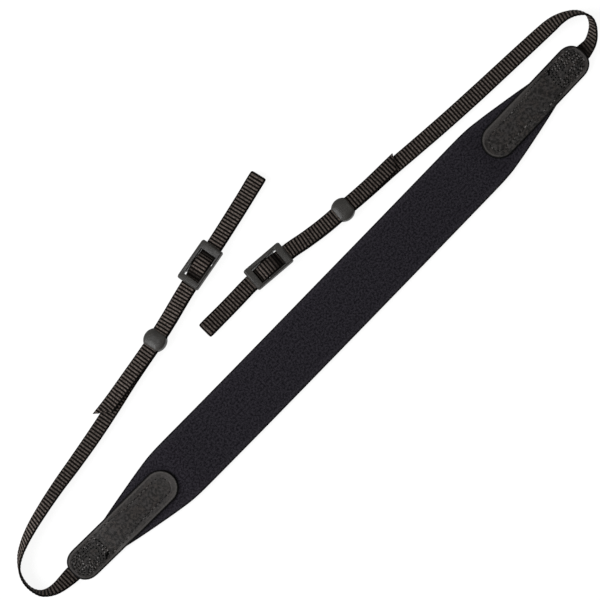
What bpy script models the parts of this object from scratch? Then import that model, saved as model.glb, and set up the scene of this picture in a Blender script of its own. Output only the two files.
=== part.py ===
"""Camera neck strap, laid out flat on a table.

A long foam pad ends in two stitched leather tabs. Each tab holds a ribbed webbing that
turns back on itself, standing on its edge in the turn, runs through a keeper and a slide
buckle, folds into a flat loop for the camera's lug, and comes back on top of itself
through the same buckle and keeper to a slanted free end.

Sizes are millimetres and degrees, and become metres where a mesh is made. The table is
z = 0. +X runs along the pad from end a to end b, and +Y points to the side where both
webbings lie. Tables are measured from the pad's middle.
"""
import math

import bmesh
import bpy
import numpy as np
from mathutils import Matrix, Vector

MM = 0.001
GAP = 0.3                      # air left between two pieces that lie on each other

# The pad's middle, seen from the origin, which lies under the middle of the whole strap
PAD_MIDDLE = (3.28, -37.64)

# Foam pad: rows run from its middle to its tip, and both ends are alike
PAD_TIP = 192.0
PAD_CORNER = 1.9               # rounding of the pressed edge
PAD_CROWN = 0.35               # how much the middle stands above the rounded edge
PAD_COLUMNS = ("along", "half_width", "thickness", "lift")
PAD_ROWS = (
    (0.0, 18.95, 5.0, 0.0),
    (60.0, 18.95, 5.0, 0.0),
    (98.0, 18.95, 5.0, 0.0),
    (118.0, 18.95, 5.0, 0.8),
    (128.0, 18.90, 4.8, 1.45),
    (136.0, 18.55, 3.9, 1.6),
    (146.0, 17.25, 3.3, 1.6),
    (160.0, 14.85, 3.2, 1.6),
    (174.0, 12.25, 3.2, 1.6),
    (184.0, 10.20, 2.5, 1.6),
    (PAD_TIP, 8.40, 1.4, 1.6),
)
# The pad and its tabs bend a little towards the webbings at each end
BOW = {"a": 2.3, "b": 1.25}
BOW_REACH = 217.0

# Leather tabs: an upper ply that shows and a backing ply under it
TAB_INNER = 133.8
TAB_OUTER = 216.7
TAB_HALF_WIDTH = 10.0
TAB_OUTER_CORNER = 6.6
TAB_PLY = 1.4
BACKING_PLY = 1.3
BACKING_INSET = 0.25
PLY_ROUNDING = 0.3

# Webbing
WEB_WIDTH = 10.2
WEB_THICKNESS = 1.3
WEB_SELVAGE = 0.4              # the selvage is thinner than the ribbed face over this width
WEB_SELVAGE_THICKNESS = 0.7
WEB_START = 193.0              # its sewn end, between the plies, from the pad's middle
WEB_TAB_HEIGHT = BACKING_PLY + GAP + WEB_THICKNESS / 2
LAYER_PITCH = 1.7              # from the lower layer's middle to the upper layer's
LOOP_RADIUS = 1.75             # the fold at the loop's end, to the middle of the webbing
LOOP_OPENING = 14.0            # the layers part over this length before the fold
TAIL_LIFT = 0.4                # the free end stands off the layer below
TAIL_DRIFT_START = 6.0         # the tail runs true this far past the keeper's middle
SLANT_BLEND = 14.0             # the sections turn into the slanted cut over this length

# Slide buckle, along the webbing, across it, and up from the lower layer's middle
BUCKLE_COLUMNS = ("height", "length", "width", "corner")
BUCKLE_ROWS = (
    (-1.00, 27.2, 12.9, 1.8),
    (-0.60, 28.0, 13.6, 2.2),
    (2.95, 28.0, 13.6, 2.2),
    (3.85, 26.2, 13.3, 1.7),
    (4.20, 25.4, 12.7, 1.4),
)
BUCKLE_BAR_UNDERSIDE = LAYER_PITCH + WEB_THICKNESS / 2 + 0.35
WINDOW_LENGTH = 17.3
WINDOW_WIDTH = 11.4
CENTRE_BAR_LENGTH = 4.8
CENTRE_BAR_TOP = 0.85
BAR_RISE = CENTRE_BAR_TOP + GAP + WEB_THICKNESS / 2
BAR_RISE_INNER = 2.8           # the webbing is level over the centre bar this far out
BAR_RISE_OUTER = 8.4           # and back on its own level this far out

# Keeper: a thick disc with two flats and a slot for both layers
KEEPER_RADIUS = 6.7
KEEPER_HALF_LENGTH = 5.0
KEEPER_SLOT_WIDTH = 11.0
KEEPER_SLOT_BOTTOM = -WEB_THICKNESS / 2 - GAP
KEEPER_SLOT_TOP = LAYER_PITCH + WEB_THICKNESS / 2 + GAP
KEEPER_ARC_POINTS = 13
KEEPER_COLUMNS = ("height", "inset")
KEEPER_ROWS = (
    (-1.70, 0.35),
    (-1.35, 0.00),
    (2.95, 0.00),
    (3.40, 0.40),
    (3.72, 1.60),
    (3.85, 3.40),
)

# Each webbing's route: the middle line of its lower layer, from its sewn end to the axis
# of the fold. "roll" turns the face about the run: 0 is flat, 90 stands on the inner
# edge, and past that the other face looks up. The sign says to which side it turns.
ROUTE_COLUMNS = ("x", "y", "z", "roll")
STRAPS = {
    "a": {
        "route": (
            (-WEB_START, 1.60, WEB_TAB_HEIGHT, 0.0),
            (-205.30, 2.00, WEB_TAB_HEIGHT, 0.0),
            (-217.20, 2.45, WEB_TAB_HEIGHT, 0.0),
            (-221.50, 2.65, 2.75, 16.0),
            (-225.80, 2.85, 3.45, 31.0),
            (-229.80, 3.20, 4.16, 43.5),
            (-233.70, 4.10, 4.76, 54.5),
            (-237.25, 5.75, 5.20, 65.5),
            (-240.20, 8.25, 5.42, 75.0),
            (-241.95, 11.60, 5.52, 83.5),
            (-242.75, 15.35, 5.55, 88.0),
            (-242.20, 21.10, 5.55, 90.5),
            (-239.85, 26.40, 5.53, 94.0),
            (-237.30, 29.40, 5.49, 99.5),
            (-232.65, 32.95, 5.33, 109.5),
            (-225.50, 36.40, 5.04, 119.0),
            (-217.00, 39.25, 4.68, 127.0),
            (-205.00, 42.15, 4.33, 133.5),
            (-187.60, 45.40, 3.92, 140.5),
            (-169.80, 48.00, 3.42, 148.0),
            (-149.10, 51.40, 3.05, 153.0),
            (-132.00, 54.70, 3.05, 153.5),
            (-110.50, 59.35, 3.20, 157.0),
            (-98.70, 61.60, 3.52, 160.0),
            (-84.60, 64.10, 3.72, 162.0),
            (-69.30, 67.40, 3.36, 163.0),
            (-52.50, 71.50, 3.08, 164.0),
            (-33.60, 75.55, 2.95, 164.0),
            (-14.80, 79.20, 2.72, 165.5),
            (3.80, 83.20, 1.85, 171.0),
            (28.00, 88.60, 1.20, 175.0),
        ),
        "buckle_at": 63.1,     # distances back from the fold's axis
        "keeper_at": 115.3,
        "tail_at": 168.0,
        "tail_drift": 2.5,
        "tail_slant": 43.0,
        "buckle_shift": 0.3,
        "buckle_turn": -0.6,
    },
    "b": {
        "route": (
            (WEB_START, 0.75, WEB_TAB_HEIGHT, 0.0),
            (205.70, 1.00, WEB_TAB_HEIGHT, 0.0),
            (216.80, 1.20, WEB_TAB_HEIGHT, 0.0),
            (220.60, 1.30, 3.05, -22.0),
            (224.50, 1.85, 4.10, -42.0),
            (228.10, 3.45, 4.62, -52.0),
            (231.30, 5.80, 5.05, -62.0),
            (234.00, 8.60, 5.32, -70.5),
            (235.70, 12.00, 5.48, -80.0),
            (235.80, 15.60, 5.50, -94.0),
            (233.95, 18.85, 5.38, -106.0),
            (231.10, 21.55, 5.22, -113.5),
            (227.70, 23.50, 5.00, -120.0),
            (222.10, 25.40, 4.34, -133.5),
            (216.15, 26.35, 3.45, -147.5),
            (208.00, 26.95, 2.92, -154.5),
            (194.00, 27.75, 2.58, -159.0),
            (176.20, 28.65, 2.33, -162.0),
            (152.30, 29.95, 2.08, -165.0),
            (128.30, 31.60, 2.14, -164.0),
            (108.70, 33.30, 2.35, -162.0),
            (88.70, 35.10, 2.75, -161.0),
            (70.00, 36.45, 3.20, -163.0),
            (50.30, 38.30, 3.45, -165.0),
            (35.00, 39.75, 3.30, -164.5),
            (22.50, 41.70, 3.10, -164.0),
            (11.50, 43.95, 2.98, -164.0),
            (-4.70, 45.75, 2.93, -164.0),
            (-20.50, 47.00, 2.65, -165.0),
            (-33.00, 46.95, 2.02, -168.5),
            (-57.10, 47.10, 1.20, -175.0),
        ),
        "buckle_at": 52.5,
        "keeper_at": 107.9,
        "tail_at": 150.3,
        "tail_drift": 1.0,
        "tail_slant": 29.0,
        "buckle_shift": 0.3,
        "buckle_turn": 0.0,
    },
}

# Lengths of the steps between two sections of a webbing
STEP_STRAIGHT = 5.0
STEP_TURN = 2.2
STEP_BUCKLE = 1.15
TURN_LENGTH = 78.0
FOLD_STEPS = 8

FINISHES = {
    "pad_jersey": ((0.020, 0.019, 0.024), 0.85, 0.0),
    "tab_leather": ((0.050, 0.048, 0.046), 0.50, 0.0),
    "backing_leather": ((0.040, 0.038, 0.037), 0.60, 0.0),
    "webbing_weave": ((0.085, 0.075, 0.070), 0.75, 0.0),
    "moulded_plastic": ((0.085, 0.082, 0.078), 0.45, 0.0),
}


def material(name):
    """Return the finish of that name, made once."""
    made = bpy.data.materials.get(name)
    if made:
        return made
    colour, roughness, metallic = FINISHES[name]
    made = bpy.data.materials.new(name)
    made.use_nodes = True
    shader = made.node_tree.nodes["Principled BSDF"]
    shader.inputs["Base Color"].default_value = (*colour, 1.0)
    shader.inputs["Roughness"].default_value = roughness
    shader.inputs["Metallic"].default_value = metallic
    made.diffuse_color = (*colour, 1.0)
    return made


def add_object(name, mesh, finish=None, smooth_angle=35.0):
    """Link a new object, with its finish and its smooth shading."""
    made = bpy.data.objects.new(name, mesh)
    bpy.context.scene.collection.objects.link(made)
    if finish:
        mesh.materials.append(material(finish))
        mesh.shade_smooth()
        mesh.set_sharp_from_angle(angle=math.radians(smooth_angle))
    return made


def unit(vector):
    """Return the vector at length one."""
    return vector / np.linalg.norm(vector)


def curve_through(knots, values, at, even=False):
    """Read a smooth curve through the rows. Even curves never pass a row's value."""
    knots = np.asarray(knots, float)
    values = np.asarray(values, float)
    widths = np.diff(knots)[:, None]
    rates = np.diff(values, axis=0) / widths
    if even:
        same_way = rates[:-1] * rates[1:] > 0
        total = np.where(same_way, rates[:-1] + rates[1:], 1.0)
        inner = np.where(same_way, 2 * rates[:-1] * rates[1:] / total, 0.0)
    else:
        inner = (rates[:-1] * widths[1:] + rates[1:] * widths[:-1]) / (widths[:-1] + widths[1:])
    slopes = np.vstack([rates[:1], inner, rates[-1:]])
    cell = int(np.clip(np.searchsorted(knots, at) - 1, 0, len(knots) - 2))
    width = widths[cell, 0]
    t = (at - knots[cell]) / width
    start = (1 + 2 * t) * (1 - t) ** 2
    end = t * t * (3 - 2 * t)
    return (start * values[cell] + end * values[cell + 1]
            + t * (1 - t) ** 2 * width * slopes[cell]
            + t * t * (t - 1) * width * slopes[cell + 1])


def smooth_step(t):
    """Rise from 0 to 1 with level ends."""
    t = min(max(t, 0.0), 1.0)
    return t * t * (3 - 2 * t)


def loft(name, rings):
    """Make a closed mesh, in metres, through rings of as many points each."""
    mesh = bmesh.new()
    made = [[mesh.verts.new(Vector(point) * MM) for point in ring] for ring in rings]
    count = len(rings[0])
    for ring, following in zip(made, made[1:]):
        for i in range(count):
            j = (i + 1) % count
            mesh.faces.new((ring[i], ring[j], following[j], following[i]))
    caps = [mesh.faces.new(made[0][::-1]), mesh.faces.new(made[-1])]
    bmesh.ops.triangulate(mesh, faces=caps)
    bmesh.ops.recalc_face_normals(mesh, faces=mesh.faces)
    result = bpy.data.meshes.new(name)
    mesh.to_mesh(result)
    mesh.free()
    return result


def on_pad(x, y, z):
    """Move a point of the straight pad to its place in the strap, along the bow."""
    end = "a" if x < 0 else "b"
    bent = y + BOW[end] * (abs(x) / BOW_REACH) ** 3
    return (x + PAD_MIDDLE[0], bent + PAD_MIDDLE[1], z)


# Pad
def pad_size(x):
    """Return the pad's half width, thickness and lift at x."""
    table = np.array(PAD_ROWS)
    return curve_through(table[:, 0], table[:, 1:], abs(x), even=True)


def pad_ring(x):
    """Return one cross-section: a flat underside, rounded edges and a slight crown."""
    half, thick, lift = pad_size(x)
    corner = min(PAD_CORNER, thick * 0.42)
    side = half - corner
    crown = PAD_CROWN * thick / PAD_ROWS[0][2]
    points = []
    for turn in (-90, -50, -10, 30, 62, 90):
        angle = math.radians(turn)
        middle = corner if turn < 0 else thick - crown - corner
        points.append((side + corner * math.cos(angle), lift + middle + corner * math.sin(angle)))
    for share in (0.5, 0.0, -0.5):
        points.append((side * share, lift + thick - crown * share * share))
    points += [(-y, z) for y, z in reversed(points[:6])]
    points.append((0.0, lift))
    return [on_pad(x, y, z) for y, z in points]


def make_pad():
    """Make the foam pad as one closed body."""
    inner = np.linspace(0, 120, 9)
    taper = np.linspace(124, PAD_TIP - 2.0, 15)
    half = list(inner) + list(taper) + [PAD_TIP]
    places = [-x for x in reversed(half[1:])] + half
    add_object("pad", loft("pad", [pad_ring(x) for x in places]), "pad_jersey")


# Leather tabs
def tab_half_width(x, inset):
    """Return the tab's half width at x: a round inner end and a squarer outer end."""
    half = TAB_HALF_WIDTH - inset
    inner = x - TAB_INNER - inset
    outer = TAB_OUTER - inset - x
    if inner < half:
        return math.sqrt(max(half ** 2 - (half - inner) ** 2, 0.0))
    if outer < TAB_OUTER_CORNER:
        rest = TAB_OUTER_CORNER - outer
        return half - TAB_OUTER_CORNER + math.sqrt(TAB_OUTER_CORNER ** 2 - rest ** 2)
    return half


def tab_places(inset):
    """Return where the tab's cross-sections lie, closer together round its ends."""
    half = TAB_HALF_WIDTH - inset
    start = TAB_INNER + inset
    end = TAB_OUTER - inset
    turns = [math.radians(t) for t in (14, 27, 40, 53, 66, 78, 90)]
    inner = [start + half * (1 - math.cos(t)) for t in turns]
    middle = list(np.linspace(inner[-1], end - TAB_OUTER_CORNER, 12))[1:]
    outer = [end - TAB_OUTER_CORNER * (1 - math.sin(t)) for t in turns[:6]]
    return inner + middle + outer + [end - 0.02]


def ply_ring(x, half, bottom, top):
    """Return a flat cross-section with eased edges."""
    ease = min(PLY_ROUNDING, half * 0.4)
    points = ((half - ease, bottom), (half, bottom + ease), (half, top - ease),
              (half - ease, top), (ease - half, top), (-half, top - ease),
              (-half, bottom + ease), (ease - half, bottom))
    return [on_pad(x, y, z) for y, z in points]


def top_underside(x):
    """Return the height of the upper ply's underside, which rests on pad and webbing."""
    webbing = WEB_TAB_HEIGHT + WEB_THICKNESS / 2
    if x >= PAD_TIP:
        return webbing + GAP
    half, thick, lift = pad_size(x)
    return max(lift + thick, webbing) + GAP


def make_tab(end):
    """Make both plies of one tab."""
    side = -1 if end == "a" else 1
    upper = []
    for x in tab_places(0.0):
        low = top_underside(x)
        upper.append(ply_ring(side * x, tab_half_width(x, 0.0), low, low + TAB_PLY))
    add_object(f"tab_{end}", loft(f"tab_{end}", upper), "tab_leather")
    backing = []
    for x in tab_places(BACKING_INSET):
        half = tab_half_width(x, BACKING_INSET)
        backing.append(ply_ring(side * x, half, 0.0, BACKING_PLY))
    name = f"backing_{end}"
    add_object(name, loft(name, backing), "backing_leather")


# Webbing
class Route:
    """The middle line of a webbing's lower layer, and how its face is turned there."""

    def __init__(self, rows):
        self.rows = np.array(rows, float)
        self.rows[:, :2] += PAD_MIDDLE
        steps = np.linalg.norm(np.diff(self.rows[:, :3], axis=0), axis=1)
        self.knots = np.concatenate([[0.0], np.cumsum(steps)])
        self.length = self.knots[-1]

    def row(self, s):
        """Return x, y, z and roll at the distance s from the sewn end."""
        place = curve_through(self.knots, self.rows[:, :2], s)
        height_and_roll = curve_through(self.knots, self.rows[:, 2:], s, even=True)
        return np.concatenate([place, height_and_roll])

    def frame(self, s):
        """Return the point, the way along, the way across and the way up the stack."""
        nudge = 0.05
        here = self.row(s)
        ahead = self.row(s + nudge)
        behind = self.row(s - nudge)
        along = unit(ahead[:3] - behind[:3])
        level = unit(np.array([-along[1], along[0], 0.0]))
        up = np.cross(along, level)
        roll = math.radians(here[3])
        across = level * math.cos(roll) + up * math.sin(roll)
        return here[:3], along, across, -np.cross(along, across)


def rise_over_bar(strap, back):
    """Return how far the webbing climbs over the buckle's centre bar."""
    away = abs(back - strap["buckle_at"])
    share = (BAR_RISE_OUTER - away) / (BAR_RISE_OUTER - BAR_RISE_INNER)
    return BAR_RISE * smooth_step(share)


def upper_height(strap, back):
    """Return the height of the upper layer's middle over the lower layer's level."""
    height = LAYER_PITCH + rise_over_bar(strap, back)
    opening = smooth_step(1 - back / LOOP_OPENING)
    height += (2 * LOOP_RADIUS - LAYER_PITCH) * opening
    past = (back - strap["keeper_at"]) / (strap["tail_at"] - strap["keeper_at"])
    return height + TAIL_LIFT * smooth_step(past)


def steps_between(strap, length):
    """Return the distances back from the fold's axis, closer where the webbing bends."""
    reach = BAR_RISE_OUTER + STEP_BUCKLE
    marks = [0.0, LOOP_OPENING, strap["buckle_at"] - reach, strap["buckle_at"] + reach,
             length - TURN_LENGTH, length]
    sizes = [2.0, STEP_STRAIGHT, STEP_BUCKLE, STEP_STRAIGHT, STEP_TURN]
    places = [0.0]
    for start, stop, size in zip(marks, marks[1:], sizes):
        count = max(1, round((stop - start) / size))
        places += list(np.linspace(start, stop, count + 1))[1:]
    return places


def webbing_stations(strap, route):
    """Return point, way across and slant for each section, from the sewn end on."""
    backs = steps_between(strap, route.length)
    side = -math.copysign(1.0, strap["route"][-1][3])
    stations = []
    for back in reversed(backs[1:]):
        point, along, across, up = route.frame(route.length - back)
        stations.append((point + up * rise_over_bar(strap, back), across, 0.0))
    point, along, across, up = route.frame(route.length)
    for i in range(FOLD_STEPS + 1):
        turn = math.pi * i / FOLD_STEPS
        out = along * math.sin(turn) * LOOP_RADIUS
        stations.append((point + out + up * LOOP_RADIUS * (1 - math.cos(turn)), across, 0.0))
    tail = strap["tail_at"]
    straight = tail - SLANT_BLEND
    upper = [back for back in backs[1:] if back < straight - 1.0]
    upper += list(np.linspace(straight, tail, 6))
    slope = math.tan(math.radians(strap["tail_slant"]))
    for back in upper:
        point, along, across, up = route.frame(route.length - back)
        past = back - strap["keeper_at"] - TAIL_DRIFT_START
        share = max(past, 0.0) / (tail - strap["keeper_at"] - TAIL_DRIFT_START)
        drift = across * side * strap["tail_drift"] * share ** 2
        cut = side * slope * max(back - straight, 0.0) / SLANT_BLEND
        stations.append((point + up * upper_height(strap, back) + drift, across, cut))
    return stations


def webbing_ring(point, along, across, cut):
    """Return one cross-section with thin selvages, sheared along the run by the cut."""
    across = unit(across - along * np.dot(along, across))
    face = np.cross(along, across)
    half = WEB_WIDTH / 2
    inner = half - WEB_SELVAGE
    thick = WEB_THICKNESS / 2
    thin = WEB_SELVAGE_THICKNESS / 2
    profile = ((half, -thin), (half, thin), (inner, thick), (-inner, thick),
               (-half, thin), (-half, -thin), (-inner, -thick), (inner, -thick))
    return [point + across * a + face * c + along * cut * a for a, c in profile]


def make_webbing(end, strap, route):
    """Make one webbing as a single ribbon from its sewn end to its free end."""
    stations = webbing_stations(strap, route)
    points = [station[0] for station in stations]
    rings = []
    for i, (point, across, cut) in enumerate(stations):
        before = points[max(i - 1, 0)]
        after = points[min(i + 1, len(points) - 1)]
        rings.append(webbing_ring(point, unit(after - before), across, cut))
    name = f"webbing_{end}"
    add_object(name, loft(name, rings), "webbing_weave", smooth_angle=50.0)


# Buckle and keeper
def place_on_route(thing, route, back, shift=0.0, turn=0.0):
    """Put a piece on the webbing: +x along it, +z up the stack, +y to the table's +Y."""
    point, along, across, up = route.frame(route.length - back)
    left = np.cross(up, along)
    toward = left if left[1] > 0 else -left
    point = point + toward * shift
    axes = Matrix((Vector(along), Vector(left), Vector(up))).transposed()
    place = Matrix.Translation(Vector(point) * MM) @ axes.to_4x4()
    thing.matrix_world = place @ Matrix.Rotation(math.radians(turn), 4, "Z")


def box_mesh(name, low, high):
    """Make a box between two corners, in metres."""
    mesh = bmesh.new()
    bmesh.ops.create_cube(mesh, size=1.0)
    low = Vector(low)
    high = Vector(high)
    for vert in mesh.verts:
        share = vert.co + Vector((0.5, 0.5, 0.5))
        vert.co = Vector([low[i] + (high[i] - low[i]) * share[i] for i in range(3)]) * MM
    result = bpy.data.meshes.new(name)
    mesh.to_mesh(result)
    mesh.free()
    return result


def cut_away(thing, name, low, high):
    """Cut a box out of a piece with a cutter that moves with it."""
    cutter = add_object(name, box_mesh(name, low, high))
    cutter.parent = thing
    cutter.hide_render = True
    cutter.display_type = "WIRE"
    cut = thing.modifiers.new(name, "BOOLEAN")
    cut.operation = "DIFFERENCE"
    cut.object = cutter


def rounded_outline(length, width, corner):
    """Return a rectangle's outline with round corners, counter-clockwise."""
    reach_x = length / 2 - corner
    reach_y = width / 2 - corner
    points = []
    for sign_x, sign_y, start in ((1, 1, 0), (-1, 1, 90), (-1, -1, 180), (1, -1, 270)):
        for step in (0, 30, 60, 90):
            angle = math.radians(start + step)
            points.append((sign_x * reach_x + corner * math.cos(angle),
                           sign_y * reach_y + corner * math.sin(angle)))
    return points


def make_buckle(end, strap, route):
    """Make the slide buckle: raised end bars, two rails and a low bar across the middle."""
    rings = []
    for height, length, width, corner in BUCKLE_ROWS:
        outline = rounded_outline(length, width, corner)
        rings.append([(x, y, height) for x, y in outline])
    name = f"buckle_{end}"
    buckle = add_object(name, loft(name, rings), "moulded_plastic")
    far = WINDOW_LENGTH
    bar = CENTRE_BAR_LENGTH / 2
    window = WINDOW_LENGTH / 2
    inside = WINDOW_WIDTH / 2
    for side in (-1, 1):
        ends = sorted((side * bar, side * window))
        cut_away(buckle, f"{name}_slot_{side + 1}",
                 (ends[0], -inside, -far), (ends[1], inside, far))
        ends = sorted((side * (window - 0.5), side * far))
        cut_away(buckle, f"{name}_channel_{side + 1}",
                 (ends[0], -inside, -far), (ends[1], inside, BUCKLE_BAR_UNDERSIDE))
    cut_away(buckle, f"{name}_middle", (-bar - 0.5, -inside, CENTRE_BAR_TOP),
             (bar + 0.5, inside, far))
    place_on_route(buckle, route, strap["buckle_at"], strap["buckle_shift"],
                   strap["buckle_turn"])


def make_keeper(end, strap, route):
    """Make the keeper: a disc with two flats, a low dome and a slot for both layers."""
    rings = []
    for height, inset in KEEPER_ROWS:
        radius = KEEPER_RADIUS - inset
        half = KEEPER_HALF_LENGTH - inset
        start = math.acos(half / radius)
        ring = []
        for base in (0.0, math.pi):
            for turn in np.linspace(start, math.pi - start, KEEPER_ARC_POINTS):
                ring.append((radius * math.cos(base + turn), radius * math.sin(base + turn),
                             height))
        rings.append(ring)
    name = f"keeper_{end}"
    keeper = add_object(name, loft(name, rings), "moulded_plastic")
    far = 2 * KEEPER_RADIUS
    inside = KEEPER_SLOT_WIDTH / 2
    cut_away(keeper, f"{name}_slot", (-far, -inside, KEEPER_SLOT_BOTTOM),
             (far, inside, KEEPER_SLOT_TOP))
    place_on_route(keeper, route, strap["keeper_at"])


def main():
    """Build the whole strap."""
    for old in list(bpy.data.objects):
        bpy.data.objects.remove(old, do_unlink=True)
    make_pad()
    for end, strap in STRAPS.items():
        route = Route(strap["route"])
        make_tab(end)
        make_webbing(end, strap, route)
        make_buckle(end, strap, route)
        make_keeper(end, strap, route)


main()
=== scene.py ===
# %% [markdown]
# # A camera neck strap, laid out flat
#
# The strap is a long foam pad with a leather tab at each end. A ribbed webbing leaves each
# tab, turns back on its edge, passes a keeper and a slide buckle, and folds into a loop
# for the camera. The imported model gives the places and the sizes. This lesson dresses it:
# each visible piece gets a finer mesh and a finish of its own.

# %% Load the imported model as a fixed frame
import math

import bmesh
import bpy
import numpy as np
from mathutils import Matrix, Vector


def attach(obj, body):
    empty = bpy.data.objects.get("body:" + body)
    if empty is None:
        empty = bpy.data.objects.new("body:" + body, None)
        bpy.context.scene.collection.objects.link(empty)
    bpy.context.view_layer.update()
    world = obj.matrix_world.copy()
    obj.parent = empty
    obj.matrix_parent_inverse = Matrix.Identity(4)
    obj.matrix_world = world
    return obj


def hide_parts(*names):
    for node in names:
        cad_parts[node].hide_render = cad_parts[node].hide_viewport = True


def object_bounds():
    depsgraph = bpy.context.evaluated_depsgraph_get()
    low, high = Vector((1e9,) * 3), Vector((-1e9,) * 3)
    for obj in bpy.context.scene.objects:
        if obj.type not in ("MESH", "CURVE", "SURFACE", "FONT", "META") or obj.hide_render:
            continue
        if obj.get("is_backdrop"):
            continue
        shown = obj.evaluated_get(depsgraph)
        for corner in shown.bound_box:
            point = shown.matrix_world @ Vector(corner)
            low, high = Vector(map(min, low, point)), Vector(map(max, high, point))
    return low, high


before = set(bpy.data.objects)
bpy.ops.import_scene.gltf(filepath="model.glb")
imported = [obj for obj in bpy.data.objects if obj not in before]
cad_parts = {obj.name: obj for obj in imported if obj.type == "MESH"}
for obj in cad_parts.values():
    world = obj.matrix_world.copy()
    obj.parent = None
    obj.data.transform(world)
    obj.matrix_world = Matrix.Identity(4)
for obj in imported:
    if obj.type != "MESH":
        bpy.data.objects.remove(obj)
CAD_BOX = [list(corner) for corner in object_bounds()]
MM = 0.001
print("packed nodes:", ", ".join(sorted(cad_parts)))

# %% [markdown]
# ## Camera
#
# The photo looks straight down on the strap, turned so that the pad runs from lower left
# to upper right. A long lens from far above keeps the raised edges of the webbing from
# leaning outwards. The picture is square, and 360 mm of the table fill its width.

# %% The camera straight above the table
PICTURE_MIDDLE = (-3.0, -18.24)     # what the photo's centre shows, in millimetres
PICTURE_WIDTH = 360.0
CAMERA_HEIGHT = 2400.0
PAD_SLOPE = 45.81                   # how steeply the pad rises in the picture, in degrees


def new_object(name, data):
    """Make an object and put it in the scene."""
    made = bpy.data.objects.new(name, data)
    bpy.context.scene.collection.objects.link(made)
    return made


camera = new_object("camera", bpy.data.cameras.new("camera"))
camera.data.sensor_width = 36.0
camera.data.lens = camera.data.sensor_width * CAMERA_HEIGHT / PICTURE_WIDTH
camera.location = Vector((*PICTURE_MIDDLE, CAMERA_HEIGHT)) * MM
camera.rotation_euler = (0.0, 0.0, math.radians(-PAD_SLOPE))
camera.data.clip_end = 20.0
bpy.context.scene.camera = camera
print(f"lens {camera.data.lens:.0f} mm")

# %% [markdown]
# ## Floor and light
#
# The strap lies on a white table that is lit from all sides and glows a little itself, so
# it hardly takes a shadow and stays white to the picture's edge. The largest soft box
# stands at the picture's left. Straight above, where the camera hangs, it is darker: flat
# faces stay dark, and only rounded edges catch the boxes.

# %% A white table and soft boxes
def new_material(name, colour, roughness, specular):
    """Make a material and return it with its tree and its Principled BSDF."""
    material = bpy.data.materials.new(name)
    material.use_nodes = True
    shader = material.node_tree.nodes["Principled BSDF"]
    shader.inputs["Base Color"].default_value = (*colour, 1.0)
    shader.inputs["Roughness"].default_value = roughness
    shader.inputs["Specular IOR Level"].default_value = specular
    return material, material.node_tree, shader


def add_mesh(name, vertices, faces, materials=()):
    """Make an object at the origin from points in millimetres."""
    mesh = bpy.data.meshes.new(name)
    mesh.from_pydata([tuple(p) for p in np.asarray(vertices, float) * MM], [], faces)
    for material in materials:
        mesh.materials.append(material)
    mesh.shade_smooth()
    return new_object(name, mesh)


def soft_light(name, turn, rise, distance, size, power, colour):
    """Hang a square soft box: "turn" is its side of the picture, in degrees from the right."""
    lamp = bpy.data.lights.new(name, "AREA")
    lamp.size = size
    lamp.energy = power
    lamp.color = colour
    made = new_object(name, lamp)
    side = math.radians(turn - PAD_SLOPE)
    up = math.radians(rise)
    way = Vector((math.cos(side) * math.cos(up), math.sin(side) * math.cos(up), math.sin(up)))
    made.location = way * distance
    made.rotation_mode = "QUATERNION"
    made.rotation_quaternion = (-way).to_track_quat("-Z", "Y")


FLOOR_HALF = 3000.0
FLOOR_LEVEL = -0.10                 # the thread under the strap reaches just below zero
WHITE = (1.0, 1.0, 1.0, 1.0)
white_table, _, shader = new_material("white_table", (0.12, 0.12, 0.12), 0.9, 0.1)
shader.inputs["Emission Color"].default_value = WHITE
shader.inputs["Emission Strength"].default_value = 0.885
corners = [(x * FLOOR_HALF, y * FLOOR_HALF, FLOOR_LEVEL)
           for x, y in ((-1, -1), (1, -1), (1, 1), (-1, 1))]
floor = add_mesh("floor", corners, [(0, 1, 2, 3)], [white_table])
floor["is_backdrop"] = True

world = bpy.data.worlds.new("room")
bpy.context.scene.world = world
world.use_nodes = True
background = world.node_tree.nodes["Background"]
background.inputs["Color"].default_value = WHITE
background.inputs["Strength"].default_value = 0.4
bpy.context.scene.view_settings.view_transform = "Standard"
soft_light("left_box", 196.0, 38.0, 2.0, 1.4, 62.0, (0.97, 0.98, 1.0))
soft_light("lower_box", 262.0, 32.0, 2.1, 1.1, 12.0, (1.0, 0.98, 0.95))
soft_light("right_box", 60.0, 44.0, 2.4, 1.2, 14.0, (1.0, 0.97, 0.93))
print("white table and three soft boxes")

# %% [markdown]
# ## Small helpers for meshes
#
# Most pieces here are rings of points joined into a skin. A texture coordinate measured
# in millimetres, along the piece and round it, lets every weave keep its real size.

# %% Helpers for meshes
def unit(vector):
    """Return the vector at length one."""
    return vector / np.linalg.norm(vector)


def smooth_step(t):
    """Rise from 0 to 1 with level ends."""
    t = np.clip(t, 0.0, 1.0)
    return t * t * (3 - 2 * t)


def lengths_along(points, closed=False):
    """Return how far along a line each of its points lies."""
    points = np.asarray(points, float)
    if closed:
        points = np.vstack([points, points[:1]])
    return np.concatenate([[0.0], np.cumsum(np.linalg.norm(np.diff(points, axis=0), axis=1))])


def ring_faces(count, size):
    """Return the faces between "count" rings of "size" points each."""
    return [(i * size + j, i * size + (j + 1) % size,
             (i + 1) * size + (j + 1) % size, (i + 1) * size + j)
            for i in range(count - 1) for j in range(size)]


def turn_outwards(piece):
    """Point every face of a closed mesh outwards."""
    mesh = bmesh.new()
    mesh.from_mesh(piece.data)
    bmesh.ops.recalc_face_normals(mesh, faces=mesh.faces)
    mesh.to_mesh(piece.data)
    mesh.free()


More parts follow.
